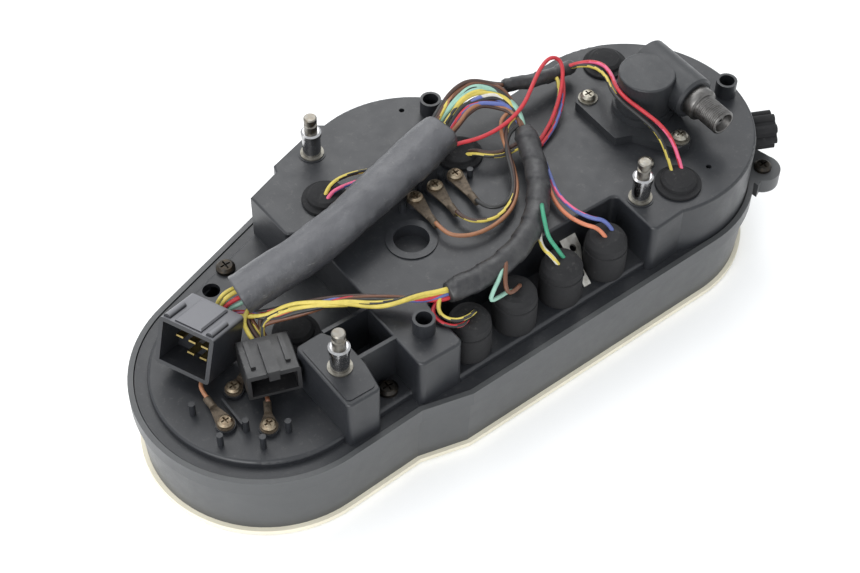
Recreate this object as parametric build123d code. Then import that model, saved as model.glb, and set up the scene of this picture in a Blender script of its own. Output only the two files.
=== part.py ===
"""Motorcycle instrument cluster: temperature gauge, tachometer and speedometer in one case.

Millimetres. The cluster lies on its lens: z = 0 is the lens face, +Z runs towards the mounting
studs, +X from the temperature gauge to the speedometer, and the origin is on the lens face below
the middle of the case.
"""

import os
from math import acos, atan2, cos, degrees, hypot, pi, radians, sin, sqrt, tan

from build123d import *

os.makedirs("parts", exist_ok=True)

# ---- driving dimensions: the case --------------------------------------------------------------
TEMP = (-105.5, -16.0)  # centres of the case's three round ends
TACH = (-4.0, 17.8)
SPEED = (98.5, -15.0)
CASE_R = 59.4  # rim radius round the temperature gauge and the speedometer
TACH_R = 61.0
COVE_R = 46.0  # hollow in the rim between tachometer and speedometer
WAIST = ((-64.5, -73.2), (-41.5, -78.8))  # corners of the near edge
LUG = (149.5, -53.0)
LUG_R = 8.6

LENS_T = 3.0
LENS_INSET = 6.8
LENS_RIM_INSET = 1.2  # the pale rim stands proud of the cover's foot
COVER_Z0 = 3.6
COVER_FOOT_INSET = 3.2
COVER_TOP_INSET = 1.7
SHOULDER_Z = 6.2
LIP_Z = 33.0  # the rim's outer lip starts here
RIM_Z = 41.0
LEDGE_Z = 36.5
FLANGE_Z0, FLANGE_Z1 = 37.5, 40.4
FLOOR_Z = 44.0
DECK_Z = 68.0
WALL = 2.5
WALL_INSET = 5.9
FLANGE_INSET = 2.9
FLOOR_INSET = 8.6
DECK_SPEED_R = 56.5
DECK_TACH_R = 53.0
DECK_COVE_R = 30.0
DECK_CORNER_R = 3.0

# ---- gauges ------------------------------------------------------------------------------------
CARRIER_Z = 15.4
CARRIER_T = 2.0
PLATE_Z = CARRIER_Z + CARRIER_T
DIAL_T = 1.0
DRIVE = (107.0, -11.0)  # the gearbox tower and the speedometer's spindle
GAUGES = {"speed": (DRIVE, 41.0), "tach": (TACH, 46.0), "temp": (TEMP, 40.0)}
ZERO_ANGLE = {"speed": -45.0, "tach": -45.0, "temp": 40.0}
NEEDLE_Z = 10.6
SPINDLE_R = 1.0
DRUM_R = 7.5
DRUM_Z = 24.0
DRUM_OFFSET = 21.0
DRUM_PITCH = 5.2

# ---- mounting studs, gearbox -------------------------------------------------------------------
STUDS = ((-31.7, 56.9), (71.3, -51.4), (-90.7, -51.5))
STUD_R = 3.0
STUD_ROOT_R = 2.6  # inside the case and the sleeve
SLEEVE_R = 4.2
SLEEVE_H = 14.0
STUD_H = 23.0

BARREL_X = 120.5
BARREL_Z = 84.0
BARREL_Y = (3.0, -30.0)
UNION_Y = (-35.5, -49.2)
TOWER_Z = 94.0
GEAR_PITCH_R = (BARREL_X - DRIVE[0]) / 2
GEAR_TEETH = 8
GEAR_W = 10.0
SHAFT_R = 3.0
RUN_GAP = 0.05  # radial running clearance of every shaft

# ---- lamps, terminals, screws ------------------------------------------------------------------
TALL_LAMPS = ((-29.7, -59.2), (-4.6, -59.0), (21.3, -58.4), (46.8, -58.0))
FLUSH_LAMPS = ((-43.0, 29.7), (22.2, 16.9), (114.0, 24.3), (90.5, -55.0))
LOW_LAMP = (-85.8, -9.4)
LAMP_HOLE_R = 7.4
TACH_SCREWS = ((-11.5, 5.1), (-0.2, 5.6), (11.2, 5.8))
TEMP_SCREWS = ((-136.8, -33.6), (-123.0, -45.4), (-124.5, -20.5))
TACH_POSTS = ((-19.0, 4.2), (-5.8, 9.8), (5.6, 9.6), (17.6, 3.4))
TEMP_POSTS = ((-144.5, -20.0), (-143.4, -40.2), (-130.8, -40.0), (-129.6, -51.2), (-116.8, -50.6))
CASE_SCREWS = ((-90.8, 39.9), (-71.2, -57.6))
DECK_SCREW = (86.9, -37.0)
TUBES = ((-51.3, -55.8), (27.9, 47.3), (147.4, -23.6))
TUBE_R, TUBE_BORE, TUBE_H = 4.9, 3.6, 8.0
RECESS = (-25.9, -12.0)
PIN_HOLES = ((17.5, 55.7), (109.0, -57.0 + 2.0))
SMALL_HOLE = (-102.7, 32.9)

# ---- trip reset knob ---------------------------------------------------------------------------
KNOB_ANGLE = -25.0
KNOB_Z = 53.0
KNOB_R = 9.0
KNOB_BACK = 58.6  # from the speedometer end's centre to the knob's back
KNOB_LENGTH = 10.5
KNOB_SHAFT_R = 2.5

# ---- harness routes ----------------------------------------------------------------------------
LOOM_R = 5.4
LOOM = ((-34.6, -49.8, 75.0), (-20.0, -51.6, 74.8), (-4.0, -50.4, 74.8), (11.0, -45.2, 74.8),
        (24.0, -36.6, 74.8), (35.0, -24.2, 75.2), (43.4, -9.6, 76.2), (48.6, 4.2, 78.6))
BRANCH_R = 3.4
BRANCH = ((57.4, 31.2, 80.4), (66.0, 28.4, 79.6), (76.4, 26.6, 78.0), (87.0, 26.6, 76.0),
          (96.4, 27.6, 74.6))
SLEEVE_TUBE_R = 9.6
SLEEVE = ((14.6, 22.4, 81.4), (-3.4, 16.8, 82.0), (-21.0, 11.4, 82.2), (-38.6, 7.6, 81.6),
          (-55.8, 2.8, 80.0), (-73.4, 2.4, 76.4), (-89.4, 4.6, 71.0), (-103.0, 6.6, 66.6))
ARCH_R = 5.2
ARCH = ((15.1, 22.6, 81.4), (22.4, 24.9, 81.2), (30.4, 26.8, 83.6), (38.4, 26.8, 85.8),
        (45.6, 24.4, 85.8), (50.4, 19.2, 83.8), (51.6, 12.2, 80.2), (48.8, 4.8, 78.7))
RETURN_R = 3.4
RETURN = ((-35.1, -49.7, 75.0), (-45.0, -46.0, 74.8), (-54.0, -41.0, 74.2), (-63.0, -33.0, 73.6),
          (-72.0, -26.4, 72.4), (-82.0, -21.6, 70.0), (-91.4, -16.8, 66.8), (-98.4, -11.4, 64.0))
LEAD_R = 1.6
LEADS = {
    "flush_lamp_leads": (
        ((97.6, 24.0, 79.0), (101.0, 15.6, 82.6), (98.6, 5.6, 85.4), (93.2, -4.4, 87.4),
         (91.4, -13.0, 88.0), (92.6, -22.4, 87.4), (96.0, -32.4, 84.4), (96.6, -42.4, 80.2),
         (93.6, -51.2, 75.4)),
        ((-38.4, 29.4, 74.6), (-31.4, 30.0, 75.0), (-23.4, 29.0, 74.4), (-15.6, 26.6, 72.8),
         (-9.0, 24.6, 71.2)),
        ((24.8, 11.8, 74.6), (26.8, 6.2, 74.2), (31.8, 2.0, 73.8), (38.6, 1.4, 74.0)),
    ),
    "loop_lead": (
        ((60.6, 14.4, 82.6), (66.8, 19.0, 85.4), (74.0, 22.4, 86.2),
         (80.6, 19.6, 83.6), (80.8, 12.6, 79.0), (73.6, 7.4, 74.6), (64.0, 3.0, 71.4),
         (55.0, -2.4, 70.6)),
    ),
    "tall_lamp_leads": (
        ((47.4, -19.6, 72.6), (45.2, -28.0, 72.4), (43.6, -37.0, 71.6), (43.4, -45.6, 70.6),
         (46.6, -53.0, 68.8)),
        ((27.8, -42.4, 73.4), (24.0, -46.6, 72.8), (20.8, -51.6, 70.8), (20.6, -56.4, 68.4)),
        ((-3.8, -57.0, 76.0), (-8.2, -62.6, 74.4), (-13.6, -65.8, 71.4), (-16.8, -62.6, 69.2),
         (-12.6, -59.4, 68.6), (-7.2, -58.8, 68.5)),
        ((-42.6, -50.4, 70.8), (-43.4, -56.0, 70.4), (-41.0, -61.6, 69.8), (-35.6, -62.6, 69.0),
         (-31.0, -60.0, 68.4)),
    ),
}
TERMINAL_LEAD_R = 1.1
TACH_LEADS = (
    ((-13.9, -15.2, 71.4), (-13.2, -21.6, 71.4), (-7.6, -26.8, 71.4), (0.6, -29.2, 71.4),
     (9.8, -28.6, 71.4), (18.0, -25.4, 71.4), (25.0, -19.0, 71.8), (29.6, -11.0, 72.4),
     (32.6, -2.6, 73.2)),
    ((-2.6, -14.7, 71.4), (-1.6, -20.4, 71.4), (4.0, -24.6, 71.6), (11.6, -25.2, 71.8),
     (18.6, -21.8, 72.0), (24.0, -15.4, 72.6), (27.6, -7.6, 73.4), (30.2, 0.6, 74.4)),
    ((8.8, -14.5, 71.4), (10.0, -18.8, 71.6), (14.0, -20.4, 72.2), (18.0, -17.6, 73.4),
     (20.4, -12.6, 74.6), (23.0, -6.6, 75.6)),
)
TEMP_LEADS = (
    ((-136.6, -17.4, 47.4), (-136.0, -12.4, 47.4), (-132.4, -8.6, 47.2), (-127.2, -7.4, 47.0)),
    ((-116.6, -34.2, 47.4), (-114.2, -29.6, 47.4), (-113.8, -24.0, 47.2), (-114.8, -18.6, 47.0)),
    ((-113.6, -15.4, 47.4), (-109.0, -13.6, 47.4), (-105.4, -9.6, 47.2), (-104.4, -4.4, 47.0)),
)

CONNECTOR_LEADS = (
    ((-104.4, 9.8, 65.8), (-107.8, 10.2, 63.6), (-109.8, 9.0, 60.4), (-112.0, 6.8, 57.6)),
    ((-104.6, 3.4, 63.4), (-107.4, 1.4, 61.8), (-107.8, -4.4, 59.8), (-105.4, -11.2, 57.4)),
)

made = {}


# ---- shapes ------------------------------------------------------------------------------------
def node(name, *shapes):
    """One sub-part: each separate solid in it stays separate."""
    made[name] = Compound([solid for shape in shapes for solid in shape.solids()])


def disc(x, y, r, z0, z1):
    """A plain cylinder that stands on z0."""
    return Pos(x, y, (z0 + z1) / 2) * Cylinder(r, z1 - z0)


def ring(x, y, r_out, r_in, z0, z1):
    return disc(x, y, r_out, z0, z1) - disc(x, y, r_in, z0 - 1, z1 + 1)


def block(x0, x1, y0, y1, z0, z1):
    return Pos((x0 + x1) / 2, (y0 + y1) / 2, (z0 + z1) / 2) * Box(x1 - x0, y1 - y0, z1 - z0)


def rod(start, end, r):
    """A cylinder between two points."""
    a, b = Vector(*start), Vector(*end)
    return extrude(Plane(origin=a, z_dir=b - a) * Circle(r), (b - a).length)


def turned(profile, x=0.0, y=0.0):
    """A solid of revolution about a vertical axis, from (radius, z) points."""
    face = make_face(Polyline(*[(r, 0, z) for r, z in profile], close=True))
    return Pos(x, y, 0) * revolve(face, Axis.Z)


def polygon(points, corner=0.0):
    face = make_face(Polyline(*[(x, y, 0) for x, y in points], close=True))
    return fillet(face.vertices(), corner) if corner else face


def prism(face, z0, z1):
    return extrude(Pos(0, 0, z0) * face, z1 - z0)


def on_circle(centre, r, angle):
    return (centre[0] + r * cos(radians(angle)), centre[1] + r * sin(radians(angle)))


def angle_to(centre, p):
    return degrees(atan2(p[1] - centre[1], p[0] - centre[0]))


def tangent_angle(c1, r1, c2, r2):
    """Direction of the outward normal where a line touches two circles, walking c1 to c2."""
    gap = hypot(c2[0] - c1[0], c2[1] - c1[1])
    return angle_to(c1, c2) - degrees(acos((r1 - r2) / gap))


def cove_centre(c1, r1, c2, r2, r):
    """Centre of the outside arc that touches two circles, on the right of the walk c1 to c2."""
    gap = hypot(c2[0] - c1[0], c2[1] - c1[1])
    along = ((r1 + r) ** 2 - (r2 + r) ** 2 + gap**2) / (2 * gap)
    out = sqrt((r1 + r) ** 2 - along**2)
    ux, uy = (c2[0] - c1[0]) / gap, (c2[1] - c1[1]) / gap
    return (c1[0] + ux * along + uy * out, c1[1] + uy * along - ux * out)


def arc(centre, r, a0, a1, clockwise=False):
    """An arc edge about a centre, from angle a0 round to angle a1."""
    turn = (a1 - a0) % 360
    if clockwise:
        turn -= 360
    stops = [on_circle(centre, r, a0 + turn * share) for share in (0, 0.5, 1)]
    return ThreePointArc(*[(x, y, 0) for x, y in stops])


def line(p, q):
    return Line((p[0], p[1], 0), (q[0], q[1], 0))


def case_face(inset):
    """The case's outline, that far inside the rim."""
    r, tach_r, cove_r = CASE_R - inset, TACH_R - inset, COVE_R + inset
    near = [(x, y + inset) for x, y in WAIST]
    cove = cove_centre(SPEED, r, TACH, tach_r, cove_r)
    a_near = tangent_angle(near[1], 0.0, SPEED, r)
    a_far = tangent_angle(TACH, tach_r, TEMP, r)
    a_waist = tangent_angle(TEMP, r, near[0], 0.0)
    edges = [
        arc(SPEED, r, a_near, angle_to(SPEED, cove)),
        arc(cove, cove_r, angle_to(cove, SPEED), angle_to(cove, TACH), clockwise=True),
        arc(TACH, tach_r, angle_to(TACH, cove), a_far),
        line(on_circle(TACH, tach_r, a_far), on_circle(TEMP, r, a_far)),
        arc(TEMP, r, a_far, a_waist),
        line(on_circle(TEMP, r, a_waist), near[0]),
        line(near[0], near[1]),
        line(near[1], on_circle(SPEED, r, a_near)),
    ]
    return make_face(edges)


def deck_face(inset):
    """The raised deck over the tachometer and the speedometer, with its two near blocks."""
    d = inset
    speed_r, tach_r, cove_r = DECK_SPEED_R - d, DECK_TACH_R - d, DECK_COVE_R + d
    cove = cove_centre(SPEED, speed_r, TACH, tach_r, cove_r)
    foot = (81.5, -69.2 + d)
    a_foot = -degrees(acos((foot[0] - SPEED[0]) / speed_r))
    a_shoulder = 104.0
    corners = [
        on_circle(TACH, tach_r, a_shoulder), (-21.0 + d / 2, 72.3 - d), (-30.5 + d / 2, 67.5 - d),
        (-50.0 + d / 2, 61.0 - d), (-51.5 + d / 2, 57.0 - d), (-69.0 + d, 50.5 - d), (-68.3 + d, 22.4 + d),
        (-60.3 + d, 17.7 + d), (-61.0 + d, -27.0), (-63.6 + d, -31.0), (-63.6 + d, -70.6 + d),
        (-41.4 - d, -70.6 + d), (-41.4 - d, -43.6 + d), (63.4 + d, -43.6 + d), (63.4 + d, -70.2 + d),
        on_circle(SPEED, speed_r, a_foot),
    ]
    edges = [
        arc(SPEED, speed_r, a_foot, angle_to(SPEED, cove)),
        arc(cove, cove_r, angle_to(cove, SPEED), angle_to(cove, TACH), clockwise=True),
        arc(TACH, tach_r, angle_to(TACH, cove), a_shoulder),
    ]
    edges += [line(p, q) for p, q in zip(corners, corners[1:])]
    face = make_face(edges)
    sharp = [v for v in face.vertices() if any(hypot(v.X - x, v.Y - y) < 0.01 for x, y in corners[6:15])]
    return fillet(sharp, max(0.6, DECK_CORNER_R - d))


PILLAR = ((-100.0, -31.9), (-86.3, -31.2), (-82.6, -38.0), (-80.7, -46.0), (-80.6, -56.0),
          (-83.4, -70.4), (-99.6, -70.4))


# ---- case --------------------------------------------------------------------------------------
def make_lens():
    plate = prism(case_face(LENS_INSET), 0, LENS_T)
    node("front_lens", fillet(plate.edges().group_by(Axis.Z)[0], 0.8))
    rim = prism(case_face(LENS_RIM_INSET), 0.5, COVER_Z0)
    rim = chamfer(rim.edges().group_by(Axis.Z)[0], 0.6)
    rim -= prism(case_face(LENS_INSET), -1, COVER_Z0 + 1)
    node("lens_rim", rim)


def boss_web(x, y, angle, length, gap=0.0):
    """A screw boss with the web that ties it to the cover's wall, or the space for them."""
    web = Pos(x, y, 22.4) * Rot(0, 0, angle) * Pos(length / 2, 0, 0) * Box(length, 2.4 + 2 * gap, 28)
    return disc(x, y, 4.4 + gap, 8.4, 41.4) + web


def make_front_cover():
    foot = Pos(0, 0, COVER_Z0) * case_face(COVER_FOOT_INSET)
    skirt = loft([foot, Pos(0, 0, LIP_Z) * case_face(COVER_TOP_INSET)], ruled=True)
    shell = skirt + prism(case_face(0.0), LIP_Z, RIM_Z)
    shell += disc(*LUG, LUG_R, LIP_Z, RIM_Z)
    shell += prism(polygon(((140.0, -60.5), (158.0, -52.0), (154.0, -36.0), (138.0, -40.0))), LIP_Z, RIM_Z)
    shell -= prism(case_face(WALL_INSET), SHOULDER_Z, LEDGE_Z + 1)
    shell -= prism(case_face(FLOOR_INSET), 0, SHOULDER_Z + 1)
    shell -= prism(case_face(FLANGE_INSET - 0.4), LEDGE_Z, RIM_Z + 1)
    shell -= disc(*LUG, 2.0, LIP_Z - 1, RIM_Z + 1)
    webs = boss_web(*CASE_SCREWS[0], 109.0, 7.5) + boss_web(*CASE_SCREWS[1], -87.0, 11.5)
    for x, y in CASE_SCREWS:
        webs -= disc(x, y, 1.9, 20, 42)
    node("front_cover", shell + webs)
    gasket = prism(case_face(FLANGE_INSET), LEDGE_Z, FLANGE_Z0) - prism(case_face(5.6), LEDGE_Z - 1, FLANGE_Z0 + 1)
    node("case_gasket", gasket)


def make_rear_case():
    floor = prism(case_face(FLOOR_INSET), FLANGE_Z0, FLOOR_Z)
    floor = fillet(floor.edges().group_by(Axis.Z)[-1], 1.6)
    deck = prism(deck_face(0.0), FLANGE_Z0, DECK_Z)
    deck = fillet(deck.edges().group_by(Axis.Z)[-1], 1.2)
    pillar = prism(polygon(PILLAR, 2.4), FLANGE_Z0, DECK_Z)
    pillar = fillet(pillar.edges().group_by(Axis.Z)[-1], 1.0)
    pillar += prism(polygon([(x * 0.84 - 14.5, y * 0.88 - 6.1) for x, y in PILLAR], 2.0), DECK_Z - 1, DECK_Z + 0.4)
    case = prism(case_face(FLANGE_INSET), FLANGE_Z0, FLANGE_Z1) + floor + deck + pillar
    case -= prism(case_face(FLOOR_INSET + WALL), FLANGE_Z0 - 1, FLOOR_Z - WALL)
    case -= prism(deck_face(WALL), FLANGE_Z0 - 1, DECK_Z - WALL)
    case -= prism(polygon([(x * 0.8 - 18.2, y * 0.8 - 10.2) for x, y in PILLAR]), FLANGE_Z0 - 1, DECK_Z - 12)
    for y in (-51.6, -31.8):
        case += block(-86.0, -62.0, y - 0.9, y + 0.9, FLOOR_Z - 1, DECK_Z)
    for x, y in STUDS:
        case += disc(x, y, 6.5, DECK_Z - 12, DECK_Z - 1)
        case += disc(x, y, 6.2, DECK_Z - 1, DECK_Z + 0.4)
    cup = disc(*RECESS, 11.5, DECK_Z - 1, DECK_Z + 0.7) + disc(*RECESS, 9.8, DECK_Z - 8, DECK_Z)
    case += cup - disc(*RECESS, 8.0, DECK_Z - 6, DECK_Z + 2)
    case -= disc(*RECESS, 8.0, DECK_Z - 6, DECK_Z + 2)
    for x, y in TUBES:
        case += disc(x, y, TUBE_R, DECK_Z - 1, DECK_Z + TUBE_H)
        case -= disc(x, y, TUBE_BORE, DECK_Z - 4, DECK_Z + TUBE_H + 1)
    for x, y in TACH_SCREWS:
        case += disc(x, y, 4.4, DECK_Z - 1, DECK_Z + 2)
    for x, y in TEMP_SCREWS:
        case += disc(x, y, 4.4, FLOOR_Z - 1, FLOOR_Z + 2)
    for x, y in TACH_POSTS:
        case += disc(x, y, 1.4, DECK_Z - 1, DECK_Z + 5)
    for x, y in TEMP_POSTS:
        case += disc(x, y, 1.4, FLOOR_Z - 1, FLOOR_Z + 7)
    case += block(-132.1, -131.1, -38.5, -22.5, FLOOR_Z - 1, FLOOR_Z + 3.5)
    case -= union_of(disc(x, y, STUD_ROOT_R, DECK_Z - 12, DECK_Z + 1) for x, y in STUDS)
    case -= union_of(disc(x, y, LAMP_HOLE_R, FLOOR_Z - 4, FLOOR_Z + 1) for x, y in TALL_LAMPS)
    case -= union_of(disc(x, y, LAMP_HOLE_R, DECK_Z - 4, DECK_Z + 1) for x, y in FLUSH_LAMPS)
    case -= disc(*LOW_LAMP, LAMP_HOLE_R, FLOOR_Z - 4, FLOOR_Z + 1)
    case -= union_of(disc(x, y, 2.0, DECK_Z - 4, DECK_Z + 3) for x, y in TACH_SCREWS)
    case -= union_of(disc(x, y, 2.0, FLOOR_Z - 4, FLOOR_Z + 3) for x, y in TEMP_SCREWS)
    case -= union_of(disc(x, y, 4.8, FLANGE_Z0 - 1, FLOOR_Z - WALL) for x, y in CASE_SCREWS)
    case -= union_of(disc(x, y, 2.2, FLOOR_Z - 4, FLOOR_Z + 1) for x, y in CASE_SCREWS)
    case -= union_of(disc(x, y, 1.9, DECK_Z - 4, DECK_Z + 1) for x, y in GEARBOX_SCREWS)
    case -= union_of(disc(x, y, 1.3, DECK_Z - 4, DECK_Z + 1) for x, y in PIN_HOLES)
    case -= disc(*DECK_SCREW, 2.2, DECK_Z - 4, DECK_Z + 1)
    case -= disc(*SMALL_HOLE, 4.0, FLOOR_Z - 4, FLOOR_Z + 1)
    case -= disc(*DRIVE, 8.2, DECK_Z - 4, DECK_Z + 1)
    shaft_in = (*on_circle(SPEED, 40, KNOB_ANGLE), KNOB_Z)
    shaft_out = (*on_circle(SPEED, 62, KNOB_ANGLE), KNOB_Z)
    case -= rod(shaft_in, shaft_out, KNOB_SHAFT_R + RUN_GAP)
    node("rear_case", case)


def union_of(shapes):
    shapes = list(shapes)
    whole = shapes[0]
    for shape in shapes[1:]:
        whole += shape
    return whole


# ---- fasteners ---------------------------------------------------------------------------------
def pan_screw(x, y, z, head_r=3.6, head_h=2.3, shank_r=1.9, shank=10.0):
    """A cross-recessed pan head screw whose head stands on z."""
    head = turned(((0, z), (head_r, z), (head_r, z + head_h * 0.55), (head_r * 0.72, z + head_h * 0.95),
                   (head_r * 0.4, z + head_h), (0, z + head_h)), x, y)
    cross = Pos(x, y, z + head_h) * (Box(head_r * 1.1, 0.8, 2.4) + Box(0.8, head_r * 1.1, 2.4))
    return head - cross + disc(x, y, shank_r, z - shank, z)


def make_studs():
    pins, sleeves, washers = [], [], []
    for x, y in STUDS:
        z, top = DECK_Z + 0.4, DECK_Z + STUD_H
        pin = turned(((0, DECK_Z - 12), (STUD_ROOT_R, DECK_Z - 12), (STUD_ROOT_R, z + SLEEVE_H),
                      (STUD_R, z + SLEEVE_H), (STUD_R, top - 4.6), (STUD_R - 0.7, top - 4.2),
                      (STUD_R - 0.7, top - 3.2), (STUD_R, top - 2.8), (STUD_R, top - 0.5),
                      (STUD_R - 0.5, top), (0, top)), x, y)
        sleeve = turned(((STUD_ROOT_R, z + 0.6), (SLEEVE_R, z + 0.6), (SLEEVE_R, z + SLEEVE_H - 3),
                         (SLEEVE_R + 0.5, z + SLEEVE_H - 2.6), (SLEEVE_R + 0.5, z + SLEEVE_H - 0.6),
                         (SLEEVE_R - 0.4, z + SLEEVE_H), (STUD_ROOT_R, z + SLEEVE_H)), x, y)
        pins.append(pin)
        sleeves.append(sleeve)
        washers.append(ring(x, y, 5.4, STUD_ROOT_R, z, z + 0.6))
    node("mounting_studs", *pins)
    node("stud_sleeves", *sleeves)
    node("stud_washers", *washers)


def make_screws():
    floor_screws = [pan_screw(x, y, FLOOR_Z, 4.4, 2.8, 1.9, 12) for x, y in CASE_SCREWS]
    node("case_screws", *floor_screws, pan_screw(*LUG, RIM_Z, 4.2, 2.6, 1.9, 7))
    plate_screws = [pan_screw(x, y, GEARBOX_PLATE_Z + 0.8, 3.6, 2.6, 1.9, 12) for x, y in GEARBOX_SCREWS]
    node("gearbox_screws", *plate_screws, pan_screw(*DECK_SCREW, DECK_Z, 3.6, 2.6, 1.9, 8))
    node("gearbox_washers", *[ring(x, y, 4.6, 1.9, GEARBOX_PLATE_Z, GEARBOX_PLATE_Z + 0.8) for x, y in GEARBOX_SCREWS])


# ---- speedometer gearbox -----------------------------------------------------------------------
GEARBOX_PLATE_Z = 72.4
GEARBOX_SCREWS = ((89.6, 7.8), (106.8, -36.9))
GEARBOX_PLATE = ((83.6, 9.6), (89.6, 13.8), (103.0, 9.0), (118.0, 3.0), (119.0, -20.0),
                 (112.6, -38.6), (108.0, -42.0), (101.6, -41.2), (96.6, -32.6), (91.0, -22.6),
                 (83.0, -19.6))


def along_y(face, y0, y1):
    """A face drawn round the barrel's axis, made solid from y0 to y1."""
    plane = Plane(origin=(BARREL_X, y0, BARREL_Z), x_dir=(1, 0, 0), z_dir=(0, 1 if y1 > y0 else -1, 0))
    return extrude(plane * face, abs(y1 - y0))


def make_gearbox():
    x, y = DRIVE
    plate = prism(polygon(GEARBOX_PLATE, 1.6), DECK_Z, GEARBOX_PLATE_Z)
    tower = disc(x, y, 14.4, DECK_Z, 76.0) + disc(x, y, 13.0, 75.0, TOWER_Z)
    tower = fillet(tower.edges().group_by(Axis.Z)[-1], 0.8)
    barrel = along_y(Circle(10.4), BARREL_Y[0], BARREL_Y[1])
    barrel = chamfer(barrel.edges().group_by(Axis.Y)[0], 1.2)
    body = plate + tower + barrel + disc(x, y, 8.0, 60.0, DECK_Z)
    body -= disc(x, y, 9.4, 74.0, 91.4)
    body -= disc(x, y, SHAFT_R + RUN_GAP, 59.0, 75.0)
    body -= disc(x, y, 1.5 + RUN_GAP, 91.0, 93.0)
    body -= along_y(Circle(8.2), -1.0, -21.0)
    body -= along_y(Circle(SHAFT_R + RUN_GAP), 1.5, -22.0)
    body -= along_y(Circle(6.0), -20.0, BARREL_Y[1] - 1)
    for sx, sy in GEARBOX_SCREWS:
        body -= disc(sx, sy, 1.9, DECK_Z - 1, GEARBOX_PLATE_Z + 1)
    node("gearbox_housing", body)
    node("shaft_bush", along_y(Circle(6.0) - Circle(SHAFT_R + RUN_GAP), -21.0, BARREL_Y[1]))
    collar = along_y(Circle(7.8), BARREL_Y[1], UNION_Y[0]) + along_y(Circle(6.0), UNION_Y[0], UNION_Y[1])
    collar = chamfer(collar.edges().group_by(Axis.Y)[0], 0.5)
    collar -= along_y(Circle(SHAFT_R + RUN_GAP), BARREL_Y[1] + 1, UNION_Y[0])
    collar -= along_y(Circle(4.6), UNION_Y[0], UNION_Y[1] - 1)
    node("cable_union", collar)


def gear_face():
    """Eight square-cut teeth, narrower than their gaps so that the crossed pair runs free."""
    tip, root = GEAR_PITCH_R + 0.75, GEAR_PITCH_R - 1.1
    points = []
    for tooth in range(GEAR_TEETH):
        middle = 360 / GEAR_TEETH * tooth
        for r, angle in ((root, -9.6), (tip, -6.0), (tip, 6.0), (root, 9.6)):
            points.append(on_circle((0, 0), r, middle + angle))
    return make_face(Polyline(*[(x, y, 0) for x, y in points], close=True))


def helical_gear(bore):
    """A right-handed gear with 45 degree teeth about +Z, its middle plane at z = 0."""
    turn = degrees(GEAR_W / GEAR_PITCH_R)
    face = Rot(0, 0, -turn / 2) * gear_face()
    body = Solid.extrude_linear_with_rotation(
        face.face(), center=(0, 0, -GEAR_W / 2), normal=(0, 0, GEAR_W), angle=turn)
    return Pos(0, 0, 0) * body - Cylinder(bore, 2 * GEAR_W)


def make_drive():
    x, y = DRIVE
    half_tooth = 180 / GEAR_TEETH
    driven = Pos(x, y, BARREL_Z) * helical_gear(SHAFT_R)
    node("driven_gear", driven)
    shaft = disc(x, y, SHAFT_R, 56.0, 90.8) + disc(x, y, 1.5, 90.0, 92.6)
    coupling = ring(x, y, 4.6, SHAFT_R, 56.0, 59.6) + ring(x, y, 4.6, 1.6, 48.0, 56.0)
    node("driven_shaft", shaft, coupling)
    driver = Pos(BARREL_X, y, BARREL_Z) * Rot(-90, 0, 0) * Rot(0, 0, half_tooth) * helical_gear(SHAFT_R)
    node("driver_gear", driver)
    cable_shaft = along_y(Circle(SHAFT_R), 1.0, -46.4) - along_y(Rectangle(2.8, 2.8), -38.4, -47.0)
    node("cable_shaft", cable_shaft)
    spindle = disc(x, y, 1.6, 30.5, 56.0) + disc(x, y, 10.0, 26.4, 30.6)
    node("magnet_rotor", spindle)


# ---- gauges ------------------------------------------------------------------------------------
def window(x, y, w, h, z0, z1):
    return block(x - w / 2, x + w / 2, y - h / 2, y + h / 2, z0, z1)


def make_mask():
    mask = prism(case_face(6.2), SHOULDER_Z, 8.2)
    for (x, y), r in GAUGES.values():
        mask -= disc(x, y, r - 3.0, 0, 20)
        mask += ring(x, y, r + 1.8, r + 0.2, 8.0, CARRIER_Z)
    for x, y in TALL_LAMPS:
        mask -= window(x, y, 15.0, 8.0, 0, 20)
    node("dial_mask", mask)
    node("indicator_lenses", *[window(x, y, 15.0, 8.0, 6.6, 8.2) for x, y in TALL_LAMPS])


def make_carrier():
    carrier = prism(case_face(6.2), CARRIER_Z, PLATE_Z)
    for name, ((x, y), _) in GAUGES.items():
        carrier -= disc(x, y, 22.0 if name == "temp" else 31.0, 0, 30)
    for x, y in TALL_LAMPS:
        carrier += ring(x, y, 8.8, 7.2, CARRIER_Z, 34.0)
        carrier -= disc(x, y, 7.2, 0, 35)
    carrier -= boss_web(*CASE_SCREWS[0], 109.0, 9.0, 0.5) + boss_web(*CASE_SCREWS[1], -87.0, 13.0, 0.5)
    for x, y in ((-150.0, -16.0), (-58.0, -8.0), (-62.0, 40.0), (35.0, -55.0), (54.0, 10.0)):
        carrier += disc(x, y, 3.0, CARRIER_Z, 41.5 if x < -140 or y < -50 else 34.0)
    node("gauge_carrier", carrier)


def make_dials():
    for name, ((x, y), r) in GAUGES.items():
        dial = disc(x, y, r, CARRIER_Z - DIAL_T, CARRIER_Z) - disc(x, y, 5.0, 0, 30)
        if name == "speed":
            dial -= window(x, y + DRUM_OFFSET, 6 * DRUM_PITCH, 7.0, 0, 30)
            dial -= window(x, y - DRUM_OFFSET, 4 * DRUM_PITCH, 7.0, 0, 30)
        node(name + "_dial", dial)


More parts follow.
